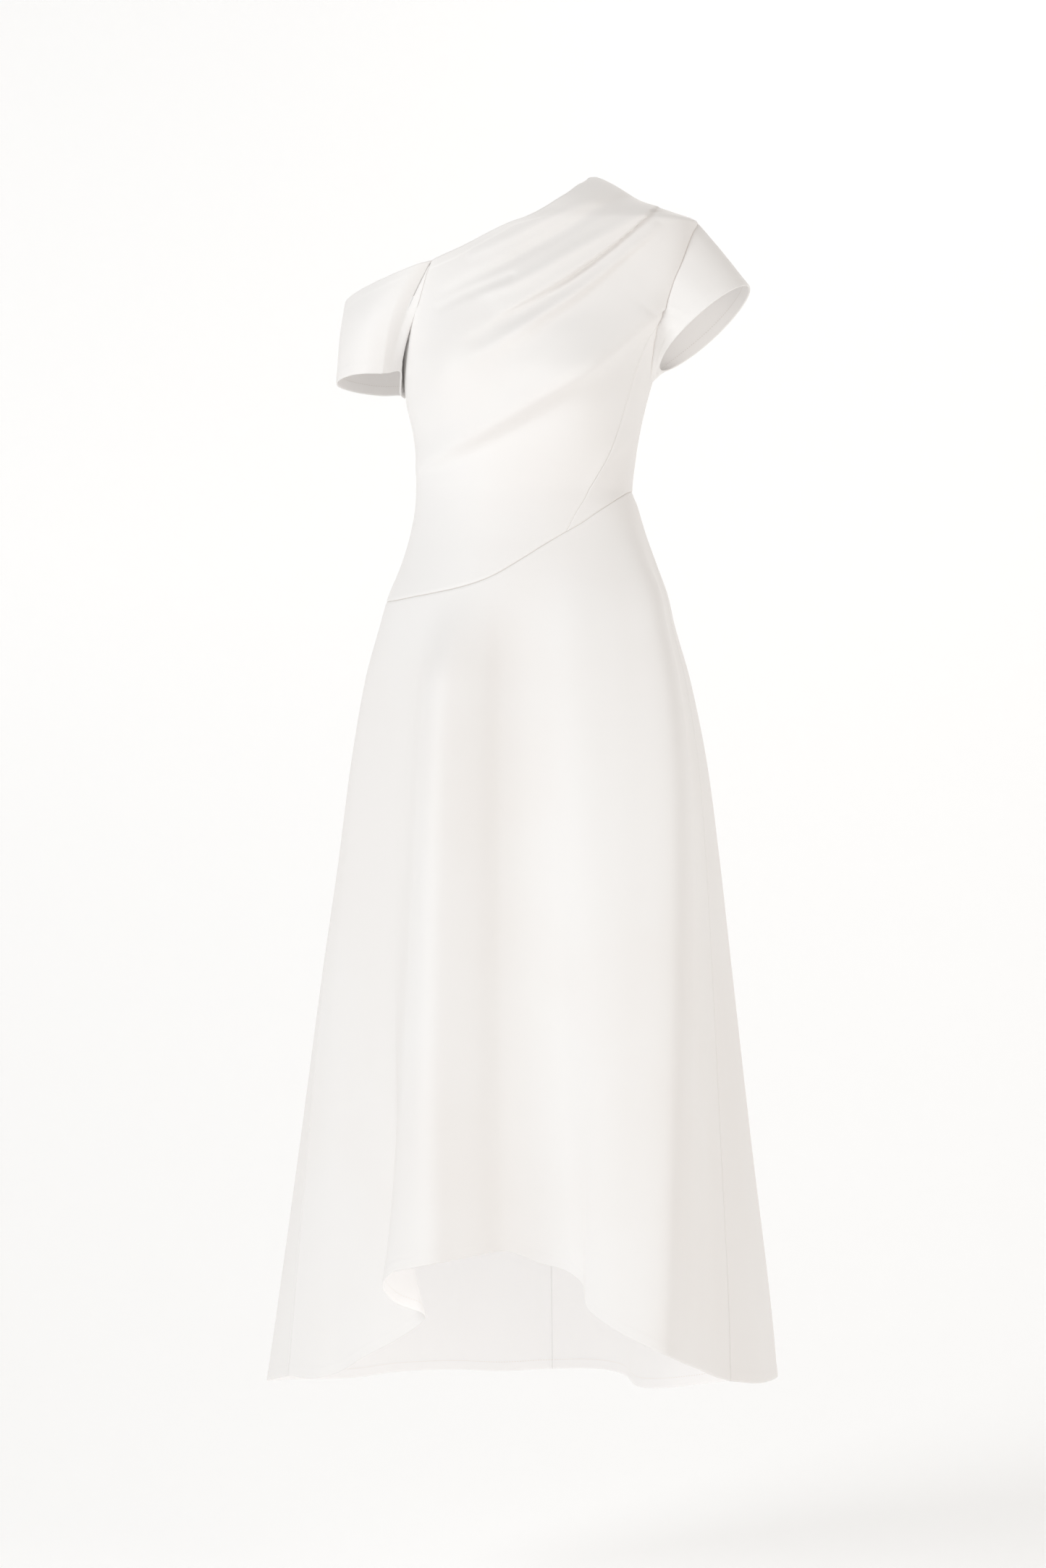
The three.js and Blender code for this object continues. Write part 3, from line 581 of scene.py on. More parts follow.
def smooth(mesh: bpy.types.Mesh) -> None:
    """Shades every face of a mesh smooth."""
    mesh.polygons.foreach_set("use_smooth", [True] * len(mesh.polygons))


@dataclass
class ClothPiece:
    """One cut piece as a closed thin shell over a grid of rows and columns.

    Half is half the cloth's thickness. A free side has a turned hem and a thinner rim, and a seam
    side has a groove. Through is the share of a painted glow on the inside face, which stands in for
    daylight through the thin cloth and light bounced into the dress.
    """

    name: str
    points: Points
    start: Edge = Edge.SEAM
    end: Edge = Edge.SEAM
    bottom: Edge = Edge.SEAM
    top: Edge = Edge.SEAM
    ring: bool = False
    half: float = 0.75
    hem_width: float = 13.0
    hem_step: float = 1.5
    hem_swell: float = 0.3
    rim_share: float = 0.35
    rim_width: tuple[float, float] = (-0.3, 1.3)
    groove_depth: float = 0.8
    groove_width: float = 1.7
    side_seam_mm: float = 0.6
    through: float = 0.25
    seam_mask: Points | None = None

    def lengths(self, axis: int) -> Points:
        """Returns the length along each grid line from its first point."""
        steps = np.linalg.norm(np.diff(self.points, axis=axis), axis=-1)
        zero = np.zeros_like(np.take(steps, [0], axis=axis))
        return np.cumsum(np.concatenate([zero, steps], axis=axis), axis=axis)

    def distances(self) -> dict[str, Points]:
        """Returns each point's distance to the four sides of the piece."""
        rows = self.lengths(0)
        columns = self.lengths(1)
        return {
            "bottom": rows,
            "top": rows[-1:] - rows,
            "start": columns,
            "end": columns[:, -1:] - columns,
        }

    def normals(self) -> Points:
        """Returns the outward direction at each grid point."""
        if self.ring:
            across = np.roll(self.points, -1, axis=1) - np.roll(self.points, 1, axis=1)
        else:
            across = np.gradient(self.points, axis=1)
        rising = np.gradient(self.points, axis=0)
        normal = np.cross(across, rising)
        length = np.linalg.norm(normal, axis=-1, keepdims=True)
        return normal / np.maximum(length, 1e-9)

    def nearest(self, kind: Edge) -> Points:
        """Returns each point's distance to the nearest side of one kind."""
        best = np.full(self.points.shape[:2], FAR_MM)
        for side, values in self.distances().items():
            if getattr(self, side) is kind:
                lies_back = self.side_seam_mm if side in ("start", "end") else 0.0
                best = np.minimum(best, values + lies_back)
        return best

    def build(self) -> bpy.types.Object:
        """Makes the mesh, with each point's distance to hem and seam as attributes.

        Returns:
            The new object, linked to the scene.
        """
        rows, columns = self.points.shape[:2]
        count = rows * columns
        normal = self.normals()
        hem = self.nearest(Edge.FREE)
        seam = self.nearest(Edge.SEAM)
        if self.seam_mask is not None:
            top = self.distances()["top"]
            seam = np.where(self.seam_mask[None, :], np.minimum(seam, top), seam)
            hem = np.where(self.seam_mask[None, :], hem, np.minimum(hem, top))
        dip = self.groove_depth * bell(seam / self.groove_width)
        swell = self.hem_swell * (1 - smoothstep(self.hem_width - self.hem_step, self.hem_width, hem))
        half = (self.half + swell) * mix(self.rim_share, 1.0, smoothstep(*self.rim_width, hem))
        middle = self.points - normal * dip[..., None]
        outer = middle + normal * half[..., None]
        inner = middle - normal * half[..., None]
        places = np.concatenate([outer.reshape(-1, 3), inner.reshape(-1, 3)])
        mesh = bpy.data.meshes.new(self.name)
        mesh.from_pydata(((places - HELD_AT) / MM_PER_METRE).tolist(), [], self.faces(rows, columns))
        values = {
            "hem_mm": np.tile(hem.reshape(-1), 2),
            "seam_mm": np.tile(seam.reshape(-1), 2),
            "warp_mm": np.tile(self.lengths(0).reshape(-1), 2),
            "weft_mm": np.tile(self.lengths(1).reshape(-1), 2),
            "inside": np.repeat([0.0, 1.0], count),
            # The inside face's share of the painted glow.
            "through": np.repeat([0.0, self.through], count),
        }
        for key, numbers in values.items():
            layer = mesh.attributes.new(key, "FLOAT", "POINT")
            layer.data.foreach_set("value", numbers.astype(np.float32))
        smooth(mesh)
        mesh.update()
        return add_object(self.name, mesh)

    def faces(self, rows: int, columns: int) -> list[tuple[int, int, int, int]]:
        """Returns the shell's quads.

        Args:
            rows: number of grid rows.
            columns: number of grid columns.

        Returns:
            Corner numbers of each quad, outer and inner faces and the rims.
        """
        inner = rows * columns
        spans = columns if self.ring else columns - 1
        faces = []
        for j in range(rows - 1):
            for i in range(spans):
                a = j * columns + i
                b = j * columns + (i + 1) % columns
                faces.append((a, b, b + columns, a + columns))
                faces.append((inner + b, inner + a, inner + a + columns, inner + b + columns))
            if not self.ring:
                a = j * columns
                b = a + columns - 1
                faces.append((inner + a, a, a + columns, inner + a + columns))
                faces.append((b, inner + b, inner + b + columns, b + columns))
        top = (rows - 1) * columns
        for i in range(spans):
            following = (i + 1) % columns
            faces.append((inner + i, inner + following, following, i))
            faces.append((top + i, top + following, inner + top + following, inner + top + i))
        return faces


def crowded(count: int, crowding: float = 0.85) -> Points:
    """Returns shares from 0 to 1 that lie close together near both ends.

    Args:
        count: how many shares.
        crowding: 0 for even spacing, towards 1 for very close ends.

    Returns:
        The rising shares.
    """
    even = np.linspace(0.0, 1.0, count)
    return even - crowding * np.sin(2 * np.pi * even) / (2 * np.pi)


@dataclass(frozen=True)
class Cut:
    """A pattern piece's flat size in metres, and its flat area in square metres."""

    width: float
    length: float
    area: float


@dataclass
class Panel:
    """A bodice panel between two edges and below a top edge, in place of its CAD node."""

    node: str
    start: Callable[[Points], Points]
    end: Callable[[Points], Points]
    top: Callable[[Points], Points]
    columns: int
    rows: int
    cut: Cut
    top_edge: Edge = Edge.FREE
    crowding: float = 0.85

    def build(self) -> None:
        """Lays the panel over the worn form."""
        share = crowded(self.columns, self.crowding)[None, :]
        up = crowded(self.rows, self.crowding)[:, None]
        bottom = np.zeros_like(share)
        for _ in range(WAIST_ROUNDS):
            bearing = mix(self.start(bottom), self.end(bottom), share)
            bottom = FORM.waist_height(bearing)
        height = mix(bottom, self.top(share), up)
        bearing = mix(self.start(height), self.end(height), share)
        piece = ClothPiece(f"crepe_{self.node}", FORM.bodice(bearing, height), top=self.top_edge)
        finish_piece(piece, self.node)


def centre_back(height: Points) -> Points:
    """Returns the centre back's bearing at each height."""
    return height * 0 + BACK_BEARING


class Bodice:
    """The draped front, the side front and the two backs."""

    tip_height = 0.5

    def panels(self) -> tuple[Panel, ...]:
        """Returns the panels with their edges."""
        return (
            Panel(
                "bodice_front",
                FORM.right_front,
                FORM.left_of_front,
                FORM.neck_front,
                columns=218,
                rows=218,
                crowding=0.45,
                cut=Cut(0.42, 0.52, 0.16),
            ),
            Panel(
                "bodice_side_front",
                FORM.side_front,
                FORM.left_front,
                lambda share: mix(SPLIT, SPLIT + self.tip_height, share),
                columns=50,
                rows=110,
                cut=Cut(0.10, 0.25, 0.0115),
                top_edge=Edge.SEAM,
            ),
            Panel(
                "bodice_back_left",
                FORM.left_back,
                centre_back,
                lambda share: FORM.neck_back(mix(1.0, BACK_CENTRE, share)),
                columns=90,
                rows=150,
                cut=Cut(0.25, 0.48, 0.078),
            ),
            Panel(
                "bodice_back_right",
                centre_back,
                FORM.right_back,
                lambda share: FORM.neck_back(mix(BACK_CENTRE, 0.0, share)),
                columns=80,
                rows=150,
                cut=Cut(0.22, 0.45, 0.066),
            ),
        )

    def build(self) -> None:
        """Builds the four panels."""
        for panel in self.panels():
            panel.build()


@dataclass
class Skirt:
    """The flared front and the two backs, which hang from the waist seam to the high-low hem."""

    columns_front: int = 300
    columns_back: int = 150
    rows: int = 130
    crowding: float = 0.6
    turn: float = 0.8
    spread: float = 0.9
    swing: float = 6.0
    early: float = 0.15
    front_cut: Cut = Cut(1.05, 1.0, 0.56)
    back_cut: Cut = Cut(0.62, 1.05, 0.385)

    def surface(self, folds: Sequence[SkirtFold], at: Points, up: Points) -> Points:
        """Returns points of the skirt.

        Args:
            folds: the chart of columns.
            at: fractional column numbers.
            up: shares of the way from the hem up to the waist seam.

        Returns:
            An array with x, y and z in its last axis.
        """
        start, x, y, hem, swing, early = (Chart(values)(at) for values in zip(*folds))
        sideways = x / np.where(x < 0, FORM.right(hem), FORM.left(hem))
        forward = -y / np.where(y < 0, FORM.front(hem), FORM.back(hem))
        end = np.degrees(np.arctan2(sideways, forward))
        end = end + 360 * np.round((start - end) / 360)
        reach = np.hypot(sideways, forward)
        down = 1 - up
        bearing = mix(start, end, down**self.turn)
        level = mix(FORM.waist_height(start), hem, down)
        share = mix(down**self.spread, smoothstep(0.0, self.early, down), early)
        point = FORM.point(bearing, level, mix(1.0, reach, share))
        point[..., 0] += swing * down**self.swing
        return point

    def build_piece(
        self, node: str, folds: Sequence[SkirtFold], span: tuple[int, int], columns: int
    ) -> None:
        """Builds one skirt piece.

        Args:
            node: the CAD node that it stands for.
            folds: the chart of columns.
            span: the first and last column of the chart that the piece takes.
            columns: how many grid columns it gets.
        """
        first, last = span
        at = mix(float(first), float(last), crowded(columns, self.crowding))[None, :]
        up = crowded(self.rows)[:, None]
        points = self.surface(folds, at, up)
        # The skirt's inside takes the whole painted glow.
        piece = ClothPiece(f"crepe_{node}", points, bottom=Edge.FREE, through=1.0)
        finish_piece(piece, node)

    def build(self) -> None:
        """Builds the three pieces."""
        centre = [row.waist for row in BACK_FOLDS].index(BACK_BEARING)
        whole_front = (0, len(FRONT_FOLDS) - 1)
        left_half = (0, centre)
        right_half = (centre, len(BACK_FOLDS) - 1)
        self.build_piece("skirt_front", FRONT_FOLDS, whole_front, self.columns_front)
        self.build_piece("skirt_back_left", BACK_FOLDS, left_half, self.columns_back)
        self.build_piece("skirt_back_right", BACK_FOLDS, right_half, self.columns_back)


@dataclass
class CapSleeve:
    """The cap sleeve: a ring of cloth from the armhole to its slanting hem."""

    hem_centre: tuple[float, float, float] = (208, 0, 184)
    hem_reach: tuple[float, float, float] = (51, 0, 45)
    hem_back: tuple[float, float, float] = (3, 50, -9)
    bulge: tuple[float, float, float] = (0.6, 0, 0.8)
    columns: int = 150
    rows: int = 46
    cut: Cut = Cut(0.40, 0.10, 0.021)

    def build(self) -> None:
        """Builds the sleeve."""
        turn = np.linspace(0, 2 * np.pi, self.columns, endpoint=False)[None, :]
        up = crowded(self.rows)[:, None]
        height = mix(UNDERARM_LEFT, SHOULDER_TIP, (1 + np.cos(turn)) / 2)
        bearing = np.where(turn < np.pi, FORM.left_back(height), FORM.left_front(height))
        edge = FORM.bodice(bearing, height)
        hem = (
            np.array(self.hem_centre)
            + np.array(self.hem_reach) * np.cos(turn)[..., None]
            + np.array(self.hem_back) * np.sin(turn)[..., None]
        )
        points = mix(hem, edge, up[..., None])
        points = points + np.array(self.bulge) * np.sin(np.pi * up)[..., None]
        piece = ClothPiece(
            "crepe_sleeve_cap", points, start=Edge.NONE, end=Edge.NONE, bottom=Edge.FREE, ring=True
        )
        finish_piece(piece, "sleeve_cap")


@dataclass
class OffShoulderSleeve:
    """The short sleeve that lies off the shoulder, round the upper arm."""

    neck_across: float = -95
    neck_reach: float = 109
    neck_depth: float = 80
    neck_height: float = 257
    neck_drop: float = 38
    crease_share: float = 17 / 18
    back_join: int = 4
    armhole_rows: int = 8
    join_rows: int = 5
    held_columns: int = 120
    free_columns: int = 110
    crease_columns: int = 8
    crease_round: tuple[float, float, float] = (-1.5, -1.5, 0.0)
    rows: int = 60
    cut: Cut = Cut(0.48, 0.15, 0.036)

    def held_heights(self) -> tuple[list[float], list[float]]:
        """Returns the rows' heights down the front armhole and up the back one."""
        even = [(i + 1) / self.armhole_rows for i in range(self.armhole_rows)]
        shares = [0.5 - 0.5 * math.cos(math.pi * share) for share in even]
        rising = [UNDERARM_RIGHT] + [mix(UNDERARM_RIGHT, OFF_JOIN, share) for share in shares]
        joins = [(i + 1) / self.join_rows for i in range(self.join_rows)]
        front_top, back_top = float(FORM.neck_front(0.0)), float(FORM.neck_back(0.0))
        front = rising + [mix(OFF_JOIN, front_top, share) for share in joins]
        back = rising[1:] + [mix(OFF_JOIN, back_top, share) for share in joins]
        return front[::-1], back

    def columns(self, edge: Points, rows: Points) -> Points:
        """Returns the columns of cloth between the hem and a top edge.

        Args:
            edge: the top of each column.
            rows: each column's fractional row number in the hem's table.

        Returns:
            A grid of points, from the hem up.
        """
        across, along, height, out_across, out_along = (Chart(values)(rows) for values in zip(*OFF_HEM))
        hem = np.stack([across, along, height], axis=-1)
        outward = np.stack([out_across, out_along, 0 * height], axis=-1)
        up = crowded(self.rows)[:, None, None]
        return mix(hem, edge, up) + outward * np.sin(np.pi * up)

    def build(self) -> None:
        """Builds the sleeve."""
        front, back = self.held_heights()
        count = len(front) + len(back)
        at = np.linspace(0, count - 1, self.held_columns)
        height = Chart(front + back)(at)
        is_front = at < len(front) - 1
        bearing = np.where(is_front, FORM.right_front(height), FORM.right_back(height))
        held = FORM.bodice(bearing, height)
        held_rows = self.back_join * at / (count - 1)
        share = np.linspace(0, self.crease_share, self.free_columns + 1)[1:]
        around = (share - 0.5) * np.pi
        out, side = np.cos(around), -np.sin(around)
        free = np.stack(
            [
                self.neck_across - self.neck_reach * out,
                self.neck_depth * side,
                self.neck_height - self.neck_drop * out,
            ],
            axis=-1,
        )
        free_rows = mix(self.back_join, len(OFF_HEM) - 1, share / self.crease_share)
        points = np.concatenate([self.columns(held, held_rows), self.columns(free, free_rows)], axis=1)
        turn = np.linspace(0, 1, self.crease_columns + 2)[1:-1]
        rounding = np.array(self.crease_round) * np.sin(np.pi * turn)[None, :, None]
        crease = mix(points[:, -1:], points[:, :1], turn[None, :, None]) + rounding
        points = np.concatenate([points, crease], axis=1)
        mask = np.arange(points.shape[1]) < len(held)
        piece = ClothPiece(
            "crepe_sleeve_off_shoulder",
            points,
            start=Edge.NONE,
            end=Edge.NONE,
            bottom=Edge.FREE,
            top=Edge.NONE,
            ring=True,
            seam_mask=mask,
        )
        finish_piece(piece, "sleeve_off_shoulder")


class Wire:
    """A shader socket or plain number that Python's operators turn into Math nodes."""

    def __init__(self, shader: "Shader", value: Any) -> None:
        """Keeps the shader and the socket or number."""
        self.shader = shader
        self.value = value

    def maths(self, operation: str, *others: Any) -> "Wire":
        """Returns the result of a Math node.

        Args:
            operation: the Math node's operation.
            others: the other operands.

        Returns:
            The node's output.
        """
        values = [other.value if isinstance(other, Wire) else other for other in others]
        inputs = dict(enumerate([self.value, *values]))
        return self.shader.node("ShaderNodeMath", {"operation": operation}, inputs)

    def swapped(self, operation: str, other: Any) -> "Wire":
        """Returns the result of a Math node with its operands the other way round."""
        return Wire(self.shader, other).maths(operation, self)

    def __add__(self, other: Any) -> "Wire":
        """Returns self + other."""
        return self.maths("ADD", other)

    def __radd__(self, other: Any) -> "Wire":
        """Returns other + self."""
        return self.swapped("ADD", other)

    def __sub__(self, other: Any) -> "Wire":
        """Returns self - other."""
        return self.maths("SUBTRACT", other)

    def __rsub__(self, other: Any) -> "Wire":
        """Returns other - self."""
        return self.swapped("SUBTRACT", other)

    def __mul__(self, other: Any) -> "Wire":
        """Returns self * other."""
        return self.maths("MULTIPLY", other)

    def sine(self) -> "Wire":
        """Returns the sine of the value."""
        return self.maths("SINE")

    def between(self, low: float, high: float) -> "Wire":
        """Returns 0 below low, 1 above high and a smooth rise between."""
        settings = {"interpolation_type": "SMOOTHSTEP"}
        inputs = {"Value": self, "From Min": low, "From Max": high}
        return self.shader.node("ShaderNodeMapRange", settings, inputs)


class Shader:
    """One material's nodes."""

    def __init__(self, name: str) -> None:
        """Starts a material with a Principled shader."""
        self.material = bpy.data.materials.new(name)
        self.material.use_nodes = True
        self.tree = self.material.node_tree
        self.surface = self.tree.nodes["Principled BSDF"]

    def node(
        self, kind: str, settings: Mapping[str, Any], inputs: Mapping[Any, Any], output: int | str = 0
    ) -> Wire:
        """Adds a node.

        Args:
            kind: the node's type.
            settings: values of the node's own properties, set first.
            inputs: values or links, by socket name or number.
            output: the output socket to return.

        Returns:
            That output as a wire.
        """
        node = self.tree.nodes.new(kind)
        for key, value in settings.items():
            setattr(node, key, value)
        for key, value in inputs.items():
            self.connect(node.inputs[key], value)
        return Wire(self, node.outputs[output])

    def connect(self, socket: bpy.types.NodeSocket, value: Any) -> None:
        """Links a wire to a socket, or sets a plain value on it."""
        value = value.value if isinstance(value, Wire) else value
        if isinstance(value, bpy.types.NodeSocket):
            self.tree.links.new(value, socket)
        else:
            socket.default_value = value

    def feed(self, socket: str, value: Any) -> None:
        """Feeds the Principled shader's socket with a wire or a plain value."""
        self.connect(self.surface.inputs[socket], value)

    def attribute(self, name: str) -> Wire:
        """Returns a point attribute of the mesh as a number."""
        return self.node("ShaderNodeAttribute", {"attribute_name": name}, {}, "Fac")

    def place(self) -> Wire:
        """Returns the place on the object, in metres."""
        return self.node("ShaderNodeTexCoord", {}, {}, "Object")

    def noise(self, scale: float, detail: float = 2.0, stretch: Sequence[float] = (1, 1, 1)) -> Wire:
        """Returns noise over the object's own space.

        Args:
            scale: how many lumps to the metre.
            detail: how many finer layers.
            stretch: how much tighter the lumps are along each axis.

        Returns:
            Values round one half.
        """
        mapped = self.node("ShaderNodeMapping", {}, {"Vector": self.place(), "Scale": tuple(stretch)})
        inputs = {"Vector": mapped, "Scale": scale, "Detail": detail}
        return self.node("ShaderNodeTexNoise", {}, inputs, "Fac")

    def blend(self, share: Any, first: Any, second: Any) -> Wire:
        """Returns a colour between two others."""
        settings = {"data_type": "RGBA"}
        inputs = {0: share, 6: first, 7: second}
        return self.node("ShaderNodeMix", settings, inputs, 2)

    def bump(self, height: Wire, strength: float, distance: float) -> Wire:
        """Returns a bumped normal."""
        inputs = {"Height": height, "Strength": strength, "Distance": distance}
        return self.node("ShaderNodeBump", {}, inputs)


@dataclass(frozen=True)
class CrepeFinish:
    """Ivory crepe: a matt face with a soft sheen, and an inside tinted warmer and darker as painted
    shade.
    """

    name: str = "ivory_crepe"
    face: Colour = (0.895, 0.878, 0.865)
    warm: Colour = (0.885, 0.862, 0.845)
    # Painted shade: the inside face is tinted a little warmer and darker than the face.
    inside: Colour = (0.885, 0.862, 0.845)
    inside_shade_share: float = 0.9
    # Painted light: the colour that the inside face glows with, in place of light through the cloth and
    # bounced in.
    through: Colour = (0.14, 0.145, 0.15)
    # Crease is a painted shade colour: it darkens the cloth along the seams and the hem's stitches,
    # where shade falls.
    crease: Colour = (0.60, 0.53, 0.47)
    seam_shade_line: float = 0.38
    seam_shade_line_inside: float = 0.12
    # How far the stitches are darkened with the painted crease shade.
    stitch_shade_line: float = 0.5
    roughness: float = 0.56
    roughness_drift: float = 0.12
    sheen: float = 0.25
    sheen_roughness: float = 0.4
    sheen_tint: Colour = (1.0, 0.96, 0.92)
    specular: float = 0.4
    thread_mm: float = 0.45
    stitch_mm: float = 3.2
    hem_row_mm: float = 11.5
    pucker_per_mm: float = 0.42
    drift_scale: float = 5.0
    uneven_scale: float = 160.0
    grain_scale: float = 1400.0
    grain_height: float = 0.05
    weave_height: float = 0.02
    uneven_height: float = 0.06
    stitch_depth: float = 0.2
    pucker_height: float = 0.05
    bump: tuple[float, float] = (0.35, 0.001)

    def material(self) -> bpy.types.Material:
        """Makes the material."""
        shader = Shader(self.name)
        inner = shader.attribute("inside")
        hem = shader.attribute("hem_mm")
        seam = shader.attribute("seam_mm")
        warp = shader.attribute("warp_mm")
        weft = shader.attribute("weft_mm")
        drift = shader.noise(self.drift_scale, 3.0).between(0.35, 0.65)
        cloth = shader.blend(drift, (*self.face, 1), (*self.warm, 1))
        # Painted shade: the inside face takes the warmer, darker inside colour.
        cloth = shader.blend(inner * self.inside_shade_share, cloth, (*self.inside, 1))
        # Painted shade: a dark line along each seam, where shade falls in the seam's groove, fainter on
        # the inside face.
        strength = self.seam_shade_line - inner * (self.seam_shade_line - self.seam_shade_line_inside)
        line = (1 - seam.between(0.2, 1.1)) * strength
        cloth = shader.blend(line, cloth, (*self.crease, 1))
        # The hem's real row of stitches on the inside face, darkened with painted shade from the crease
        # colour.
        row = 1 - (hem - self.hem_row_mm).maths("ABSOLUTE").between(0.15, 0.5)
        dash = (weft * (2 * math.pi / self.stitch_mm)).sine().between(-0.1, 0.3)
        stitch = row * dash * inner
        cloth = shader.blend(stitch * self.stitch_shade_line, cloth, (*self.crease, 1))
        shader.feed("Base Color", cloth)
        # Painted light: the inside face glows, standing in for daylight through the thin cloth and
        # light bounced into the dress.
        inside_painted_glow = shader.blend(shader.attribute("through"), (0, 0, 0, 1), (*self.through, 1))
        shader.feed("Emission Color", inside_painted_glow)
        shader.feed("Emission Strength", 1.0)
        grain = shader.noise(self.grain_scale)
        turn = 2 * math.pi / self.thread_mm
        weave = (warp * turn).sine() * (weft * turn).sine()
        uneven = shader.noise(self.uneven_scale, 3.0)
        pucker = (weft * self.pucker_per_mm).sine() * (1 - seam.between(2.0, 16.0))
        shader.feed("Roughness", self.roughness + (uneven - 0.5) * self.roughness_drift)
        height = grain * self.grain_height + weave * self.weave_height + uneven * self.uneven_height
        height = height - stitch * self.stitch_depth + pucker * self.pucker_height
        shader.feed("Normal", shader.bump(height, *self.bump))
        shader.feed("Sheen Weight", self.sheen)
        shader.feed("Sheen Roughness", self.sheen_roughness)
        shader.feed("Sheen Tint", (*self.sheen_tint, 1))
        shader.feed("Specular IOR Level", self.specular)
        return shader.material


@dataclass(frozen=True)
class TapeFinish:
    """The zip's woven tape."""

    name: str = "zip_tape_weave"
    light: Colour = (0.80, 0.75, 0.69)
    dark: Colour = (0.62, 0.57, 0.51)
    rib_per_metre: float = 5200.0
    fleck_scale: float = 900.0
    roughness: float = 0.7
    fleck_roughness: float = 0.15
    rib_height: float = 0.3
    fleck_height: float = 0.1
    bump: tuple[float, float] = (0.5, 0.0004)

    def material(self) -> bpy.types.Material:
        """Makes the material."""
        shader = Shader(self.name)
        place = shader.place()
        level = shader.node("ShaderNodeSeparateXYZ", {}, {"Vector": place}, "Z")
        rib = (level * self.rib_per_metre).sine().between(-0.6, 0.6)
        fleck = shader.noise(self.fleck_scale)
        shader.feed("Base Color", shader.blend(rib * fleck, (*self.dark, 1), (*self.light, 1)))
        shader.feed("Roughness", self.roughness + fleck * self.fleck_roughness)
        height = rib * self.rib_height + fleck * self.fleck_height
        shader.feed("Normal", shader.bump(height, *self.bump))
        return shader.material


@dataclass(frozen=True)
class PaintedMetalFinish:
    """Ivory paint on a small metal part, thin on its edges."""

    name: str = "ivory_painted_metal"
    paint: Colour = (0.78, 0.73, 0.67)
    bare: Colour = (0.50, 0.47, 0.43)
    worn_scale: float = 700.0
    worn_metallic: float = 0.9
    roughness: float = 0.34
    smear_scale: float = 1800.0
    smear_roughness: float = 0.12
    speck_scale: float = 2500.0
    bump: tuple[float, float] = (0.15, 0.0001)

    def material(self) -> bpy.types.Material:
        """Makes the material."""
        shader = Shader(self.name)
        point = shader.node("ShaderNodeNewGeometry", {}, {}, "Pointiness")
        worn = point.between(0.52, 0.6) * shader.noise(self.worn_scale).between(0.35, 0.6)
        shader.feed("Base Color", shader.blend(worn, (*self.paint, 1), (*self.bare, 1)))
        smear = shader.noise(self.smear_scale)
        shader.feed("Metallic", worn * self.worn_metallic)
        shader.feed("Roughness", self.roughness + smear * self.smear_roughness)
        shader.feed("Normal", shader.bump(shader.noise(self.speck_scale), *self.bump))
        return shader.material


Finish = CrepeFinish | TapeFinish | PaintedMetalFinish
MATERIALS: dict[str, bpy.types.Material] = {}


def declare(
    obj: bpy.types.Object, finish: Finish, body: str, node: str | None = None
) -> None:
    """Gives an object its material, made when first asked for, hides its CAD node and attaches it to
    its body.

    Args:
        obj: the object.
        finish: what it is made of.
        body: the body that it rides on.
        node: the CAD node that it stands for, if any.
    """
    if finish.name not in MATERIALS:
        MATERIALS[finish.name] = finish.material()
    obj.data.materials.clear()
    obj.data.materials.append(MATERIALS[finish.name])
    if node is not None:
        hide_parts(node)
    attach(obj, body)


def finish_piece(piece: ClothPiece, node: str) -> None:
    """Builds a cloth piece in place of its CAD node.

    Args:
        piece: the shaped cloth.
        node: the CAD node that it stands for.
    """
    obj = piece.build()
    declare(obj, CrepeFinish(), "dress", node)
    LOG.info("%s: %d rows of %d", piece.name, *piece.points.shape[:2])


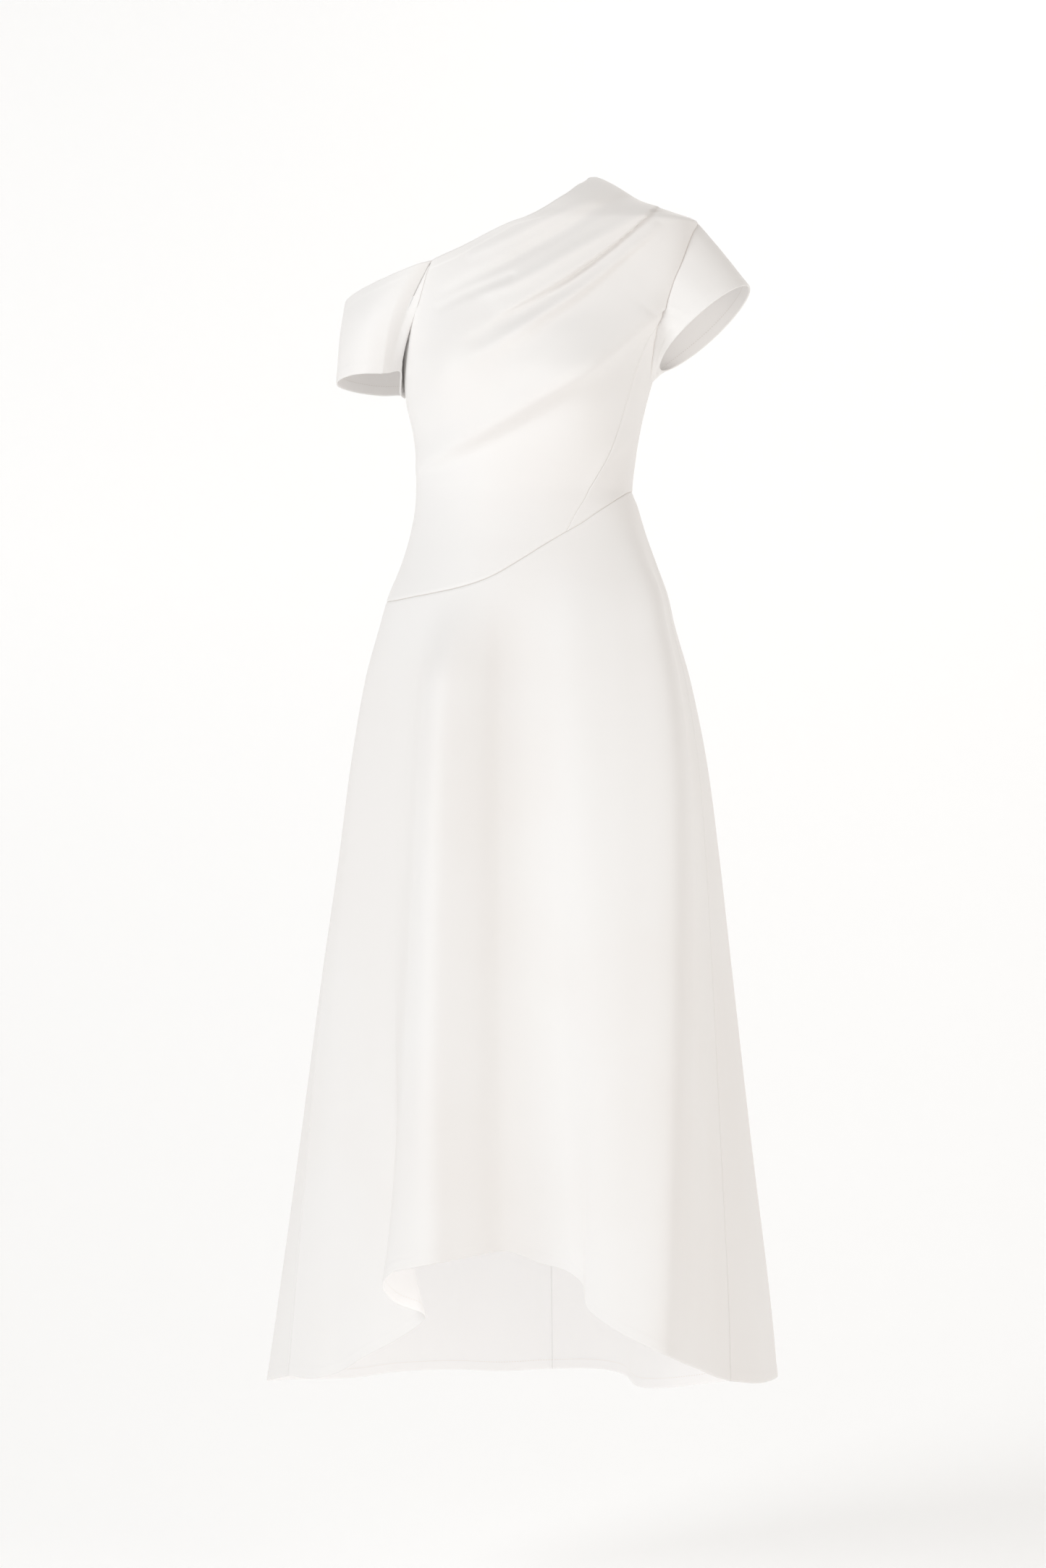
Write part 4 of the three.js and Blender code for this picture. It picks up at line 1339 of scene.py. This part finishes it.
@dataclass
class BackZip:
    """The concealed zip inside the centre back seam."""

    top_below_neck: float = 12
    end: float = -145
    tape_width: float = 20
    tape_half: float = 0.35
    tape_columns: int = 13
    depth: float = 1.9
    rows: int = 160
    coil_start: float = 4
    coil_stop: float = 2
    coil_pitch: float = 1.6
    coil_steps: int = 8
    coil_across: float = 1.43
    coil_rise: float = 0.66
    coil_wire_m: float = 0.00032
    weld_m: float = 1e-6
    flat_angle: float = 2
    round_width_m: float = 0.00018
    round_steps: int = 3
    round_angle: float = 40

    def centre_line(self, heights: Points, inward: float) -> tuple[Points, Points]:
        """Returns points inside the centre back seam, and the direction out of the cloth.

        Args:
            heights: heights of the points.
            inward: distance in from the cloth's middle.

        Returns:
            The points and the outward directions.
        """
        base = FORM.point(centre_back(heights), heights)
        rising = np.gradient(base, axis=0)
        normal = np.cross(np.array([-1.0, 0, 0]), rising)
        normal /= np.linalg.norm(normal, axis=-1, keepdims=True)
        return base - normal * inward, normal

    def build(self) -> None:
        """Builds the tape with its coil, and gives the slider and pull round edges."""
        top = float(FORM.neck_back(BACK_CENTRE)) - self.top_below_neck
        heights = np.linspace(self.end, top, self.rows)
        across = np.linspace(-0.5, 0.5, self.tape_columns) * self.tape_width
        middle, _ = self.centre_line(heights, 0.0)
        turn = np.degrees(across[None, :] / np.abs(middle[:, 1:2]))
        grid = FORM.point(BACK_BEARING + turn, heights[:, None] + 0 * turn)
        piece = ClothPiece(
            "zip_tape_woven",
            grid,
            start=Edge.NONE,
            end=Edge.NONE,
            bottom=Edge.NONE,
            top=Edge.NONE,
            half=self.tape_half,
        )
        piece.points = grid - piece.normals() * self.depth
        declare(piece.build(), TapeFinish(), "dress", "zip_tape")
        self.build_coil(self.end + self.coil_start, top - self.coil_stop)
        self.round_metal("zip_slider", "dress")
        self.round_metal("zip_pull", "pull")

    def build_coil(self, low: float, high: float) -> None:
        """Builds the row of teeth as one fine coil on the tape's inner side."""
        turns = int((high - low) / self.coil_pitch)
        at = np.linspace(0, 1, turns * self.coil_steps)
        heights = mix(low, high, at)
        base, normal = self.centre_line(heights, self.depth + self.tape_half + self.coil_rise)
        angle = 2 * np.pi * turns * at
        side = np.array([1.0, 0, 0]) * (self.coil_across * np.cos(angle))[:, None]
        points = base + side + normal * (self.coil_rise * np.sin(angle))[:, None]
        curve = bpy.data.curves.new("zip_coil", "CURVE")
        curve.dimensions = "3D"
        curve.bevel_depth = self.coil_wire_m
        curve.bevel_resolution = 1
        spline = curve.splines.new("POLY")
        spline.points.add(len(points) - 1)
        places = (points - HELD_AT) / MM_PER_METRE
        rows = np.concatenate([places, np.ones((len(points), 1))], axis=1)
        spline.points.foreach_set("co", rows.reshape(-1).astype(np.float32))
        declare(add_object("zip_coil", curve), PaintedMetalFinish(), "dress")

    def round_metal(self, node: str, body: str) -> None:
        """Builds a metal part again with rounded edges, in place of its node.

        Args:
            node: the CAD node.
            body: the body that it rides on.
        """
        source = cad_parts[node]
        mesh = source.data.copy()
        mesh.name = f"{node}_rounded"
        mesh.transform(source.matrix_world)
        build = bmesh.new()
        build.from_mesh(mesh)
        bmesh.ops.remove_doubles(build, verts=build.verts, dist=self.weld_m)
        flat = math.radians(self.flat_angle)
        bmesh.ops.dissolve_limit(build, angle_limit=flat, verts=build.verts, edges=build.edges)
        build.to_mesh(mesh)
        build.free()
        smooth(mesh)
        obj = add_object(f"{node}_rounded", mesh)
        bevel = obj.modifiers.new("edges", "BEVEL")
        bevel.width = self.round_width_m
        bevel.segments = self.round_steps
        bevel.limit_method = "ANGLE"
        bevel.angle_limit = math.radians(self.round_angle)
        declare(obj, PaintedMetalFinish(), body, node)


@dataclass(frozen=True)
class Lamp:
    """A square soft light: where it stands in metres from the aim, its side, watts and colour."""

    name: str
    place: tuple[float, float, float]
    size: float
    power: float
    tint: Colour


@dataclass
class Studio:
    """The camera, the lights and the pale floor."""

    azimuth: float = 8.0
    distance: float = 4.5
    seen_height: float = 1.790
    sensor: float = 24.0
    aim: tuple[float, float, float] = (-0.140, 0.0, -0.661)
    floor_level: float = -1.62
    floor_reach: float = 7.0
    floor_paint: Colour = (0.93, 0.93, 0.93)
    floor_roughness: float = 0.9
    backdrop_from: float = 1.6
    backdrop_radius: float = 1.4
    backdrop_height: float = 5.5
    backdrop_steps: int = 12
    backdrop_glow: float = 0.17
    world_strength: float = 0.49
    world_tint: Colour = (1.0, 0.965, 0.925)
    lamps: tuple[Lamp, ...] = (
        Lamp("key", (-3.2, -4.2, 1.9), 2.3, 122.0, (0.93, 0.97, 1.0)),
        Lamp("fill", (3.0, -1.9, 0.2), 2.4, 27.0, (1.0, 0.965, 0.93)),
        Lamp("back", (0.6, 2.2, 2.4), 2.0, 12.0, (1.0, 1.0, 1.0)),
    )

    def camera(self) -> None:
        """Sets a level camera with the photograph's framing."""
        data = bpy.data.cameras.new("camera")
        data.sensor_fit = "VERTICAL"
        data.sensor_height = self.sensor
        data.lens = self.sensor * self.distance / self.seen_height
        camera = add_object("camera", data)
        yaw = math.radians(self.azimuth)
        away = Vector((math.sin(yaw), -math.cos(yaw), 0.0)) * self.distance
        camera.location = Vector(self.aim) + away
        camera.rotation_euler = (math.pi / 2, 0.0, yaw)
        bpy.context.scene.camera = camera

    def light(self, lamp: Lamp) -> None:
        """Adds a square soft light that faces the dress."""
        data = bpy.data.lights.new(lamp.name, "AREA")
        data.shape = "SQUARE"
        data.size = lamp.size
        data.energy = lamp.power
        data.color = lamp.tint
        light = add_object(lamp.name, data)
        place = Vector(lamp.place)
        light.location = Vector(self.aim) + place
        light.rotation_euler = (-place).to_track_quat("-Z", "Y").to_euler()

    def floor(self) -> None:
        """Adds a pale floor that curves up into a backdrop, clear when seen from behind it."""
        profile = [(-self.floor_reach, 0.0), (self.backdrop_from, 0.0)]
        for i in range(1, self.backdrop_steps + 1):
            turn = math.pi / 2 * i / self.backdrop_steps
            along = self.backdrop_from + self.backdrop_radius * math.sin(turn)
            profile.append((along, self.backdrop_radius * (1 - math.cos(turn))))
        profile.append((self.backdrop_from + self.backdrop_radius, self.backdrop_height))
        verts = []
        for x in (-self.floor_reach, self.floor_reach):
            verts += [(x, y, self.floor_level + z) for y, z in profile]
        count = len(profile)
        faces = [(i, count + i, count + i + 1, i + 1) for i in range(count - 1)]
        mesh = bpy.data.meshes.new("floor")
        mesh.from_pydata(verts, [], faces)
        smooth(mesh)
        floor = add_object("floor", mesh)
        shader = Shader("floor")
        shader.feed("Base Color", (*self.floor_paint, 1))
        shader.feed("Roughness", self.floor_roughness)
        shader.feed("Emission Color", (1, 1, 1, 1))
        shader.feed("Emission Strength", self.backdrop_glow)
        shader.feed("Alpha", 1 - shader.node("ShaderNodeNewGeometry", {}, {}, "Backfacing"))
        mesh.materials.append(shader.material)

    def build(self) -> None:
        """Sets up the whole studio."""
        scene = bpy.context.scene
        scene.view_settings.view_transform = "Standard"
        world = bpy.data.worlds.new("world")
        world.use_nodes = True
        world.node_tree.nodes["Background"].inputs["Color"].default_value = (*self.world_tint, 1)
        world.node_tree.nodes["Background"].inputs["Strength"].default_value = self.world_strength
        scene.world = world
        self.camera()
        for lamp in self.lamps:
            self.light(lamp)
        self.floor()


def main() -> None:
    """Builds the studio and the dress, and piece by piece."""
    logging.basicConfig(level=logging.INFO, format="%(name)s: %(message)s")
    Studio().build()
    for part in (Bodice(), Skirt(), CapSleeve(), OffShoulderSleeve(), BackZip()):
        part.build()
        LOG.info("%s is built", type(part).__name__)


if __name__ == "__main__":
    main()
